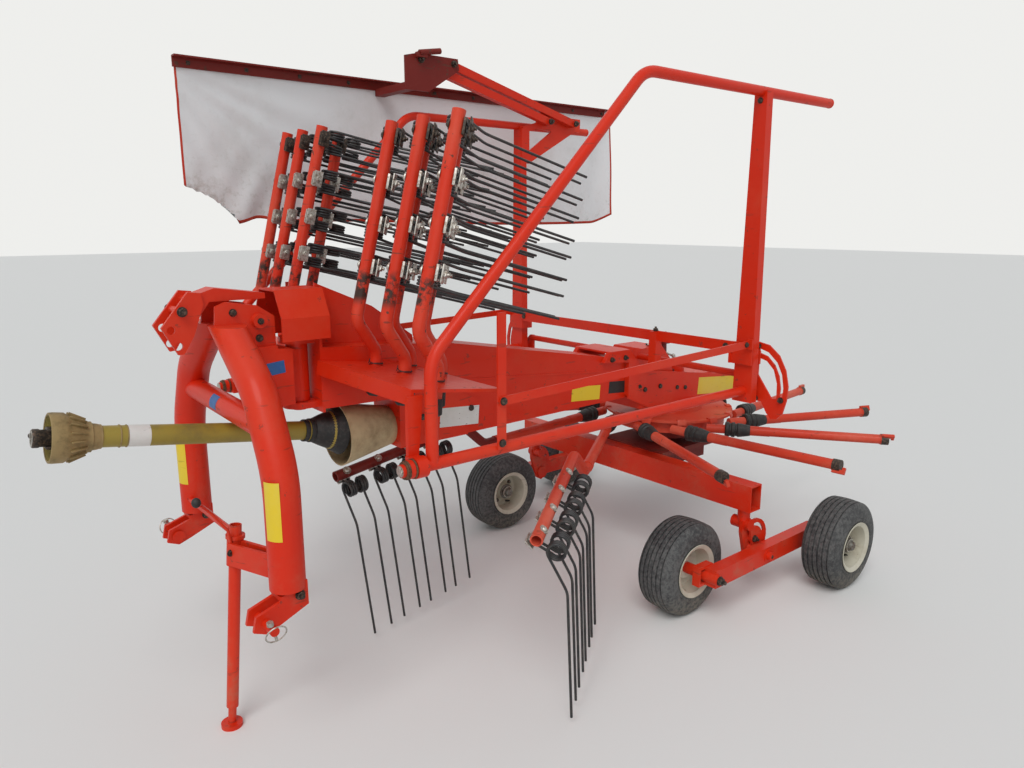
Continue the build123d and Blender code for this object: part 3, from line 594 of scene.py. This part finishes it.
def nut_on(bm, place, across, high, thread=0.0):
    # Local Z points away from the work: washer, then a six-sided nut or head, then what shows of the thread.
    rod(bm, place @ Vector((0, 0, 0)), place @ Vector((0, 0, 0.0024)), across * 0.66, 20)
    rod(bm, place @ Vector((0, 0, 0.002)), place @ Vector((0, 0, high * 0.8)), across * 0.577, 6)
    rod(bm, place @ Vector((0, 0, high * 0.8)), place @ Vector((0, 0, high)), across * 0.577, 6,
        across * 0.47)
    if thread:
        rod(bm, place @ Vector((0, 0, high * 0.9)), place @ Vector((0, 0, high + thread)), across * 0.27, 12)


def dome_on(bm, place, radius, high):
    rod(bm, place @ Vector((0, 0, -0.0015)), place @ Vector((0, 0, 0.0022)), radius * 1.45, 20)
    bmesh.ops.create_uvsphere(bm, u_segments=14, v_segments=8, radius=1.0, matrix=place @ Matrix.Translation(
        (0, 0, 0.0022)) @ Matrix.Diagonal((radius, radius, high, 1.0)))


def tine_clamp():
    # Turned half-way down round the arm: plates and nut below, rounded head above.
    bm = bmesh.new()
    tilted = turn(45, "X")
    slab(bm, tilted @ shift(0, -25.4, 0), (0.050, 0.0085, 0.030))
    slab(bm, tilted @ shift(0, -42.2, 0), (0.058, 0.0050, 0.036), 0.002)
    nut_on(bm, tilted @ shift(0, -44.7, 0) @ turn(90, "X"), 0.019, 0.010, 0.007)
    dome_on(bm, tilted @ shift(0, 20.6, 0) @ turn(-90, "X"), 0.011, 0.007)
    return pattern_of(bm)


TINE = double_tine()
CLAMP = tine_clamp()
ALONG_ARM = [0.350, 0.490, 0.631, 0.778]


def seats(arms, which):
    return [arm @ Matrix.Translation((at, -ARM_SIDE, rise_at(at))) @ turn(ARM_SLOPE, "Y")
            for arm in arms for at in which]


GROUPS = [("mounted", MOUNTED, "rotor", "rotor_tines"),
          ("stored_left", STORED["left"], "main_frame", "stored_tines_left"),
          ("stored_right", STORED["right"], "main_frame", "stored_tines_right")]
for tag, arms, body, stood_for in GROUPS:
    bm = bmesh.new()
    copies(bm, TINE, seats(arms, ALONG_ARM))
    wires = fixed("spring_tines_" + tag, bm, BLACK_STEEL, body, 60.0)
    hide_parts(stood_for)
    bm = bmesh.new()
    copies(bm, CLAMP, seats(arms, ALONG_ARM[:3] if tag != "mounted" else ALONG_ARM))
    plates = fixed("tine_clamps_" + tag, bm, BARE_STEEL, body)
    if tag != "mounted":
        bm = bmesh.new()
        copies(bm, CLAMP, seats(arms, ALONG_ARM[3:]))
        grimy = fixed("grimy_clamps_" + tag, bm, DARK_BOLT, body)

# Short arms. The ends that carry no long arm show the tube's mouth behind a bent claw, closed by a shallow
# dark disc: grease inside, with the bore's shade painted into its black.
# Ten of the twelve end this way, and the other two carry the long arms.
bm = bmesh.new()
for k in [n for n in range(12) if n not in (9, 10)]:
    tip = spoke(k) @ shift(SPOKE_END, -SPOKE_SIDE, 0)
    edges = ring(bm, tip @ shift(-31, 0, 0) @ turn(90, "Y"), 0.0250, 20)
    sleeve = run(bm, edges, tip.to_3x3() @ Vector((0.0318, 0, 0)))
    lip = run(bm, sleeve, Vector())
    centre = tip @ Vector((0.0008, 0, 0))
    bmesh.ops.scale(bm, vec=(0.80,) * 3, space=Matrix.Translation(-centre), verts=ring_verts(lip))
    closed(bm, run(bm, lip, tip.to_3x3() @ Vector((-0.0005, 0, 0))))
# The dark disc in each mouth is painted shade standing for the open bore, with grease.
mouths = fixed("short_arm_mouths_painted_shade", bm, DARK_BOLT, "rotor")

# Rotor disc. Bent lugs stand round its rim, and black grease creeps from the column over its middle.
# Both turn with the rotor.
bm = bmesh.new()
for k in range(12):
    lug = spoke(k) @ turn(15, "Z") @ shift(312, 0, 39)
    slab(bm, lug, (0.026, 0.044, 0.006))
    slab(bm, lug @ shift(15, 0, -9) @ turn(70, "Y"), (0.026, 0.044, 0.005))
lugs = fixed("disc_lugs", bm, FADED, "rotor")
bm = bmesh.new()
grease_top = mm(0, ROTOR_Y, 687.5)
outer = ring(bm, Matrix.Translation(grease_top), 0.150, 64)
inner = run(bm, outer, Vector((0, 0, 0.004)))
bmesh.ops.scale(bm, vec=(0.36, 0.36, 1.0), space=Matrix.Translation(-grease_top), verts=ring_verts(inner))
for vert in bm.verts:
    wobble = 1.0 + 0.05 * sin(5 * atan2(vert.co.y - grease_top.y,
                                        vert.co.x)) * (vert.co.z < grease_top.z + 0.001)
    vert.co.x *= wobble
grease = fixed("disc_grease", bm, GREASE, "rotor")

# Tyres. Low implement tyres with circumferential ribs and a bulging side wall, grey where they met
# the road.
TYRE_GROOVES = (-55.0, -33.0, -11.0, 11.0, 33.0, 55.0)
AXLE_HEIGHT = 203.0
WHEELS = {"front_left": (608, 986, -1), "front_right": (-608, 986, 1), "rear_left": (913, 1732, 1),
          "rear_right": (-913, 1732, -1)}


def turned(bm, outline, place, steps):
    # The outline lists (along, radius) in mm, and is spun round the place's X axis.
    verts = [bm.verts.new(place @ Vector((a / 1000.0, 0, r / 1000.0))) for a, r in outline]
    edges = [bm.edges.new(pair) for pair in zip(verts, verts[1:])]
    bmesh.ops.spin(bm, geom=verts + edges, cent=place.translation, axis=place.to_3x3() @ Vector((1, 0, 0)),
                   angle=2 * pi, steps=steps, use_merge=True, use_duplicate=False)
    return verts


outline = [(-70, 102), (-76, 108), (-81, 116), (-82.5, 128), (-80, 131), (-82, 134), (-82.3, 150), (-80, 168),
           (-75, 182), (-68, 192), (-63, 196.5)]
for groove in TYRE_GROOVES:
    crown = 202.6 - 4.2 * (groove / 60.0) ** 2
    outline += [(groove - 3.4, crown), (groove - 2.6, crown - 6.5), (groove + 2.6, crown - 6.5),
                (groove + 3.4, crown)]
outline += [(-a, r) for a, r in outline[:11]][::-1]
for tag, (x, y, out) in WHEELS.items():
    bm = bmesh.new()
    turned(bm, outline, Matrix.Translation(mm(x, y, AXLE_HEIGHT)), 72)
    casing = fixed("tyre_ribbed_" + tag, bm, TYRE, "wheel_" + tag, 28.0, 1e-5)
    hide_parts("tyre_" + tag)

# Wheel fittings. A grease cap closes the hub, with its castle nut, and a rubber valve stands in the
# dish.
for tag, (x, y, out) in WHEELS.items():
    hub = Matrix.Translation(mm(x, y, AXLE_HEIGHT)) @ (Matrix.Identity(4) if out > 0 else turn(180, "Z"))
    bm = bmesh.new()
    turned(bm, [(54, 0.05), (72, 0.05), (76, 6), (76, 12), (72, 19), (60, 22), (58.4, 26), (57, 33),
                (46, 33)], hub, 28)
    turned(bm, [(40, 40), (44, 40), (47, 36), (47, 30)], hub, 28)
    for k in range(5):
        nut_on(bm, hub @ turn(72 * k + 10, "X") @ shift(-5.5, 0, 63) @ turn(90, "Y"), 0.017, 0.011, 0.004)
    cap = fixed("hub_cap_" + tag, bm, HUB_STEEL, "wheel_" + tag)
    bm = bmesh.new()
    stem = hub @ turn(205, "X")
    rod(bm, stem @ Vector((-0.004, 0, 0.083)), stem @ Vector((0.022, 0, 0.074)), 0.0058, 12, 0.0045)
    rod(bm, stem @ Vector((0.021, 0, 0.0742)), stem @ Vector((0.034, 0, 0.070)), 0.0042, 12, 0.0036)
    valve = fixed("valve_" + tag, bm, RUBBER, "wheel_" + tag)

# Side curtain. White coated cloth hung from the folding rail, hemmed in red. Its front corner is
# turned up behind, the lower edge is creased and dirty from lying on the ground, and its rear edge
# curls round.
CLOTH_LONG = 2.523
CLOTH_DEEP = 0.655
CLOTH_FACE = -0.9085
CLOTH_TOP = 2.2745
CLOTH_FRONT = -455.0
CLOTH_STEPS = (150, 46)


def cloth_point(s, t):
    # s runs from the front along the rail, t from the rail down, both in metres of flat cloth.
    down = t / CLOTH_DEEP
    fold_at = CLOTH_DEEP - 0.150 * max(0.0, 1.0 - s / 0.21) ** 0.55
    x = CLOTH_FACE
    z = CLOTH_TOP - min(t, fold_at)
    y = mm(0, CLOTH_FRONT, 0).y + s
    if t > fold_at:
        over = t - fold_at
        z += 0.78 * over
        x -= 0.007 + 0.10 * over * (1 - 2.2 * over)
        y += 0.35 * over
    slack = down ** 1.3
    x += slack * 0.010 * sin(5.2 * s + 1.9 * t + 0.5)
    x += slack * 0.005 * sin(13.0 * s - 6.0 * t + 1.1)
    x += slack * 0.0028 * sin(31.0 * s + 15.0 * t)
    ray = sin(26.0 * atan2(t + 0.02, s + 0.10)) / (1.0 + 5.0 * (s * s + t * t))
    x += 0.0085 * ray * min(1.0, 6.0 * t) * min(1.0, 4.0 * s + 0.3)
    rucks = max(0.0, 1.0 - abs(s - 0.30) / 0.26) * max(0.0, down - 0.45)
    x += 0.026 * rucks * sin(34.0 * s + 20.0 * t)
    z += 0.030 * rucks * sin(22.0 * s + 0.8)
    rear = max(0.0, (s - (CLOTH_LONG - 0.16)) / 0.16)
    x += 0.034 * rear ** 1.5 * (0.35 + down) - 0.012 * (rear > 0) * sin(pi * rear) * down
    z += 0.050 * rear ** 2 * down
    z += 0.010 * sin(2.4 * s + 0.3) * down
    return Vector((x, y, z))


bm = bmesh.new()
columns, rows = CLOTH_STEPS
bmesh.ops.create_grid(bm, x_segments=columns, y_segments=rows, size=0.5)
weave = bm.loops.layers.uv.new("UVMap")
hem = 0.009
flat_place = {}
for vert in bm.verts:
    s = (vert.co.x + 0.5) * CLOTH_LONG
    t = (0.5 - vert.co.y) * CLOTH_DEEP
    s = min(s, CLOTH_LONG) if s > 1e-5 else 0.0
    if abs(s - CLOTH_LONG / columns) < 1e-4:
        s = hem
    if abs(s - (CLOTH_LONG - CLOTH_LONG / columns)) < 1e-4:
        s = CLOTH_LONG - hem
    flat_place[vert] = (s, t)
for vert, (s, t) in flat_place.items():
    vert.co = cloth_point(s, t)
for face in bm.faces:
    ss = [flat_place[v][0] for v in face.verts]
    ts = [flat_place[v][1] for v in face.verts]
    if max(ss) <= hem + 1e-4 or min(ss) >= CLOTH_LONG - hem - 1e-4 or min(ts) > CLOTH_DEEP * (1 - 1.2 / rows):
        face.material_index = 1
    for loop in face.loops:
        loop[weave].uv = flat_place[loop.vert]
curtain = fixed("curtain_sheet", bm, CLOTH, "curtain_cloth", 80.0, 1e-7)
curtain.data.materials.append(HEM)
thick = curtain.modifiers.new("coating", "SOLIDIFY")
thick.thickness = 0.0014
thick.offset = 0.0
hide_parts("curtain_cloth")
bm = bmesh.new()
rod(bm, mm(-912, -455, 2276), mm(-912, 2068, 2276), 0.0048, 12)
for k in range(11):
    slab(bm, Matrix.Translation(mm(-898.8, -400 + 240 * k, 2258)), (0.0025, 0.016, 0.016))
    dome_on(bm, facing(mm(-899.4, -400 + 240 * k, 2258), (1, 0, 0)), 0.0055, 0.004)
hanger = fixed("curtain_hem_rod", bm, DARK_BOLT, "curtain_cloth")

# Drive shaft guard. Olive plastic tube with a pleated bell in front, collars, and a stained bell
# behind.
SHAFT_TILT = 0.147


def shaft(y, off=0.0):
    return mm(0, y, 1007 - SHAFT_TILT * (y + 1066)) + Vector((0, 0, off))


def along_shaft(y):
    return facing(shaft(y), shaft(0) - shaft(-1000)) @ turn(-90, "Y")


bm = bmesh.new()
bell = along_shaft(-1172)
turned(bm, [(-1, 66), (-3, 70), (-1, 73.5), (8, 74.5), (36, 73.5), (42, 70), (92, 48), (100, 46), (108, 46),
            (110, 41), (124, 39), (134, 36)], bell, 48)
for k in range(16):
    fin = bell @ turn(360.0 / 16 * k, "X") @ shift(70, 0, 61.5) @ turn(23.5, "Y")
    slab(bm, fin, (0.050, 0.004, 0.010), 0.0012)
for y, radius, wide in ((-1046, 36, 9), (-990, 34.6, 4), (-970, 34.2, 3), (-396, 36, 8)):
    turned(bm, [(0, radius - 3), (0, radius), (1, radius + 1), (wide - 1, radius + 1), (wide, radius),
                (wide, radius - 3)],
           along_shaft(y), 32)
guard_trim = fixed("shaft_guard_bell", bm, BELL, "main_frame")
bm = bmesh.new()
turned(bm, [(0, 41.5), (0, 44), (30, 57), (60, 68), (99, 90), (103, 90.5), (103, 86)], along_shaft(-365), 40)
for y, radius, wide in ((-402, 39.5, 16), (-382, 42.5, 18), (-300, 74, 8)):
    turned(bm, [(0, radius - 5), (0, radius - 1), (2, radius), (wide - 2, radius), (wide, radius - 1),
                (wide, radius - 5)],
           along_shaft(y), 40)
collars = fixed("shaft_guard_collars", bm, RUBBER, "main_frame")
bm = bmesh.new()
turned(bm, [(0, 33.4), (0.3, 33.7), (62, 33.7), (62.3, 33.4)], along_shaft(-966), 40)
fixed("worn_label_band", bm, LABEL_WHITE, "main_frame")
bm = bmesh.new()
yoke = along_shaft(-1215)
turned(bm, [(1, 17.8), (1, 25), (4, 27.5), (18, 27.5), (22, 25.2), (60, 25.2)], yoke, 32)
for side in (-1, 1):
    slab(bm, yoke @ shift(66, side * 26, 0), (0.060, 0.011, 0.034), 0.004, 3)
rod(bm, yoke @ Vector((0.006, 0, -0.026)), yoke @ Vector((0.006, 0, -0.040)), 0.008, 16)
fork = fixed("yoke_fork", bm, DARK_BOLT, "shaft_yoke")

# Bare plates and bands. Blank coloured foil stands where the machine carries its plates and signs.
# Each entry gives the colour, the finish, the body, the middle, the width and height, and the slope.
# Distances from the middle plane to the walls that carry foils and bolts, with 0.4 mm to clear them:
WEB_FACE = 88.4
DOUBLER_FACE = 96.4
KNUCKLE_FACE = 113.4
HEAD_FACE = 120.4
FOIL_THICK = 0.0006
FOIL_EDGE = 0.00025
FOILS = [("yellow", LABEL_YELLOW, "main_frame", (WEB_FACE, 921, 869), (180, 66), -4.5),
         ("yellow", LABEL_YELLOW, "main_frame", (HEAD_FACE, 1858, 786), (310, 88), -5.5),
         ("black", LABEL_BLACK, "main_frame", (WEB_FACE, 1132, 869), (124, 56), -4.5),
         ("white", LABEL_WHITE, "main_frame", (DOUBLER_FACE, 212, 880), (188, 76), -4.5),
         ("blue", LABEL_BLUE, "headstock", (80.4, -524, 1158), (78, 42), 6.0)]


def foil(bm, place, wide, high):
    slab(bm, place, (wide / 1000.0, high / 1000.0, FOIL_THICK), FOIL_EDGE, 1)


for tag, finish, body, (x, y, z), (wide, high), slope in FOILS:
    bm = bmesh.new()
    foil(bm, Matrix.Translation(mm(x, y, z)) @ turn(slope, "X") @ turn(90, "Z") @ turn(90, "X"), wide, high)
    fixed("bare_plate_%s_%d" % (tag, y), bm, finish, body)


def wrapped(name, place, radius, towards, spread, low, high, finish, body):
    # Foil bent round a tube that runs along the place's Z axis, with its middle towards a direction.
    bm = bmesh.new()
    local = place.to_3x3().inverted() @ Vector(towards)
    edge = place @ turn(degrees(atan2(local.y, local.x)) - spread / 2, "Z")
    verts = [bm.verts.new(edge @ Vector((radius, 0, z / 1000.0))) for z in (low, high)]
    bmesh.ops.spin(bm, geom=verts + [bm.edges.new(verts)], cent=place.translation,
                   axis=place.to_3x3() @ Vector((0, 0, 1)), angle=radians(spread), steps=12, use_merge=False,
                   use_duplicate=False)
    return fixed(name, bm, finish, body)


for tag, x, towards, low, high in (("left", 415, (0.55, -0.84, 0), 722, 902),
                                   ("right", -415, (0.35, -0.94, 0), 672, 846)):
    wrapped("bare_plate_leg_" + tag, Matrix.Translation(mm(x, -660, 0)), 0.0546, towards, 56, low, high,
            LABEL_YELLOW,
            "headstock")
wrapped("bare_plate_cross_tube", facing(mm(-20, -660, 1041.3), (770, 0, -22)), 0.0386, (0.2, -0.9, 0.35), 74,
        -30, 30,
        LABEL_BLUE, "headstock")

# Bolts, nuts and pin heads. Each entry gives the body, the place on it, the way it faces, the width
# across the flats or the head's diameter, and what it is.
FASTENERS = [
    ("headstock", (68.5, -640, 1350), (1, 0, 0), 19, "nut"),
    ("headstock", (-68.5, -640, 1350), (-1, 0, 0), 19, "nut"),
    ("headstock", (92.4, -561, 1319), (1, 0, 0), 16, "nut"),
    ("headstock", (-92.4, -561, 1319), (-1, 0, 0), 16, "nut"),
    ("headstock", (62.4, -791, 1363), (1, 0, 0), 24, "nut"),
    ("headstock", (-62.4, -791, 1363), (-1, 0, 0), 24, "nut"),
    ("headstock", (68.5, -560, 1262), (1, 0, 0), 19, "nut"),
    ("headstock", (-68.5, -560, 1262), (-1, 0, 0), 19, "nut"),
    ("headstock", (454.4, -640, 540), (1, 0, 0), 24, "nut"),
    ("headstock", (-454.4, -640, 540), (-1, 0, 0), 24, "nut"),
    ("headstock", (377.6, -640, 540), (-1, 0, 0), 24, "head"),
    ("headstock", (-377.6, -640, 540), (1, 0, 0), 24, "head"),
    ("headstock", (0, -406, 1262.4), (0, 0, 1), 30, "nut"),
    ("headstock", (190, -748, 612), (1, 0.2, 0), 17, "head"),
    ("main_frame", (DOUBLER_FACE, 40, 905), (1, 0, 0), 19, "head"),
    ("main_frame", (DOUBLER_FACE, 268, 905), (1, 0, 0), 19, "head"),
    ("main_frame", (-DOUBLER_FACE, 40, 905), (-1, 0, 0), 19, "head"),
    ("main_frame", (-DOUBLER_FACE, 268, 905), (-1, 0, 0), 19, "head"),
    ("main_frame", (KNUCKLE_FACE, 1060, 1010), (1, 0, 0), 19, "nut"),
    ("main_frame", (KNUCKLE_FACE, 1150, 1010), (1, 0, 0), 19, "nut"),
    ("main_frame", (KNUCKLE_FACE, 1250, 860), (1, 0, 0), 19, "nut"),
    ("main_frame", (-KNUCKLE_FACE, 1060, 1010), (-1, 0, 0), 19, "nut"),
    ("main_frame", (-KNUCKLE_FACE, 1150, 1010), (-1, 0, 0), 19, "nut"),
    ("main_frame", (-KNUCKLE_FACE, 1250, 860), (-1, 0, 0), 19, "nut"),
    ("main_frame", (HEAD_FACE, 1400, 842), (1, 0, 0), 19, "head"),
    ("main_frame", (HEAD_FACE, 1288, 840), (1, 0, 0), 19, "head"),
    ("main_frame", (HEAD_FACE, 1532, 818), (1, 0, 0), 17, "head"),
    ("main_frame", (HEAD_FACE, 1596, 809), (1, 0, 0), 17, "head"),
    ("main_frame", (-HEAD_FACE, 1400, 842), (-1, 0, 0), 19, "head"),
    ("main_frame", (-HEAD_FACE, 1532, 818), (-1, 0, 0), 17, "head"),
    ("main_frame", (788.4, 1353, 203), (1, 0, 0), 30, "nut"),
    ("main_frame", (-788.4, 1353, 203), (-1, 0, 0), 30, "nut"),
    ("main_frame", (726.6, 1345, 262), (1, 0, 0), 24, "nut"),
    ("main_frame", (-726.6, 1345, 262), (-1, 0, 0), 24, "nut"),
    ("main_frame", (806.4, 986, 203), (1, 0, 0), 30, "nut"),
    ("main_frame", (-806.4, 986, 203), (-1, 0, 0), 30, "nut"),
    ("main_frame", (270, 1170, 1152.4), (0, 0, 1), 19, "nut"),
    ("main_frame", (640, 1171.4, 1130), (0, -1, 0), 19, "head"),
    ("main_frame", (-640, 1171.4, 1130), (0, -1, 0), 19, "head"),
    ("main_frame", (0, 1640, 910.4), (0, 0, 1), 24, "nut"),
    ("hoop_left", (746.4, -96, 975), (1, 0, 0), 19, "head"),
    ("hoop_left", (752.4, -96, 1106), (1, 0, 0), 19, "head"),
    ("hoop_left", (752.4, 1150, 1149), (1, 0, 0), 17, "head"),
    ("hoop_left", (858, 1252.6, 925), (0, -1, 0), 19, "nut"),
    ("hoop_left", (744, 1252.6, 1134), (0, -1, 0), 17, "head"),
    ("hoop_left", (744, 1252.6, 916), (0, -1, 0), 17, "head"),
    ("hoop_left", (720, 1188.6, 2080), (0, -1, 0), 17, "head"),
    ("hoop_right", (-746.4, -96, 975), (-1, 0, 0), 19, "head"),
    ("hoop_right", (-752.4, -96, 1106), (-1, 0, 0), 19, "head"),
    ("hoop_right", (-746.4, -96, 1352), (-1, 0, 0), 17, "head"),
    ("hoop_right", (-858, 1252.6, 925), (0, -1, 0), 19, "nut"),
    ("hoop_right", (-744, 1252.6, 1134), (0, -1, 0), 17, "head"),
    ("hoop_right", (-744, 1252.6, 916), (0, -1, 0), 17, "head"),
    ("hoop_right", (-637.6, 1352, 2141), (1, 0, 0), 24, "nut"),
    ("hoop_right", (-637.6, 1534, 2143), (1, 0, 0), 24, "nut"),
    ("curtain_end", (-629.6, 545, 2347), (1, 0, 0), 24, "nut"),
    ("curtain_end", (-629.6, 727, 2349), (1, 0, 0), 24, "nut"),
]
by_body = {}
for body, (x, y, z), way, across, kind in FASTENERS:
    bm = by_body.setdefault(body, bmesh.new())
    place = facing(mm(x, y, z), way)
    if kind == "nut":
        nut_on(bm, place, across / 1000.0, across * 0.00055, across * 0.0004)
    else:
        nut_on(bm, place, across / 1000.0, across * 0.00045)
for body, bm in by_body.items():
    fixed("fasteners_" + body, bm, DARK_BOLT, body)

# Hoop ends. The lower tube turns on a plugged pin, with brown washers behind its silver bolt; the
# upper tube is closed by a plastic cap.
for side, tag in ((1, "left"), (-1, "right")):
    x = side * 720
    body = "hoop_" + tag
    bm = bmesh.new()
    for y, radius in ((-430, 26), (-424.5, 28), (-403.6, 29)):
        rod(bm, mm(x, y, 951), mm(x, y + 5, 951), radius / 1000.0, 28)
    fixed("hinge_washers_" + tag, bm, RUSTY, body)
    bm = bmesh.new()
    nut_on(bm, facing(mm(x, -440, 951), (0, -1, 0)), 0.026, 0.005)
    fixed("hinge_bolt_" + tag, bm, BARE_STEEL, body)
    bm = bmesh.new()
    rod(bm, mm(x, 1688, 2114), mm(x, 1694, 2114), 0.0198, 24)
    rod(bm, mm(x, 1693, 2114), mm(x, 1697, 2114), 0.0175, 24, 0.012)
    fixed("tube_cap_" + tag, bm, RED, body)

# Hitch pins. Each lower link pin is kept by a sprung linch pin, and the ring of the linch pin leans
# outwards, away from the arch.
for side, tag in ((1, "left"), (-1, "right")):
    bm = bmesh.new()
    place = Matrix.Translation(mm(side * 501, -746, 480))
    rod(bm, place @ Vector((0, -0.006, 0.024)), place @ Vector((0, 0.008, -0.034)), 0.0045, 12)
    rod(bm, place @ Vector((0, -0.008, 0.018)), place @ Vector((0, -0.0095, 0.030)), 0.010, 16)
    hoop_at = place @ Matrix.Translation((side * 0.014, 0.002, -0.006)) @ turn(side * 24, "Y") @ turn(12, "X")
    loop = ring(bm, hoop_at @ Matrix.Translation((0, 0, 0.031)) @ turn(90, "X"), 0.0022, 8)
    bmesh.ops.spin(bm, geom=loop, cent=hoop_at.translation, axis=hoop_at.to_3x3() @ Vector((1, 0, 0)),
                   angle=2 * pi,
                   steps=28, use_merge=True, use_duplicate=False)
    fixed("linch_pin_" + tag, bm, BARE_STEEL, "headstock")

# Latch lever of the parking stand, with its ball knob, and the hook that holds the drive shaft up
# when parked.
bm = bmesh.new()
along(bm, [mm(186, -742, 640), mm(196, -752, 690), mm(190, -800, 760), mm(206, -838, 802)], (0.02, 0.03),
      0.0045, 10, 4)
fixed("latch_lever", bm, RED, "headstock")
bm = bmesh.new()
bmesh.ops.create_uvsphere(bm, u_segments=18, v_segments=12, radius=0.014,
                          matrix=Matrix.Translation(mm(207, -842, 806)) @ Matrix.Diagonal((1, 1, 1.12, 1)))
fixed("latch_knob", bm, RUBBER, "headstock")
bm = bmesh.new()
along(bm, [mm(-300, -650, 900), mm(-210, -700, 896), mm(-60, -800, 925), mm(-44, -812, 985)], (0.05, 0.025),
      0.006, 10, 5)
fixed("shaft_hook", bm, SHADE_DARKENED_RED, "headstock")

# Levers on the rotor head: a short mast with its bracket, and a bright rod that joins it to the
# gearbox.
bm = bmesh.new()
slab(bm, Matrix.Translation(mm(-6, 1574, 985)) @ turn(3, "X"), (0.010, 0.030, 0.190))
slab(bm, Matrix.Translation(mm(-6, 1572, 1046)), (0.044, 0.046, 0.052), 0.003)
slab(bm, Matrix.Translation(mm(0, 1600, 884)), (0.090, 0.120, 0.016), 0.003)
fixed("head_mast", bm, SHADE_DARKENED_RED, "main_frame")
bm = bmesh.new()
along(bm, [mm(56, 1362, 1044), mm(56, 1565, 966), mm(56, 1636, 930)], (0.03,), 0.0055, 10, 4)
nut_on(bm, facing(mm(60, 1565, 966), (1, 0, 0)), 0.017, 0.009)
slab(bm, Matrix.Translation(mm(56, 1640, 926)), (0.018, 0.034, 0.026), 0.002)
fixed("head_link_rod", bm, BARE_STEEL, "main_frame")
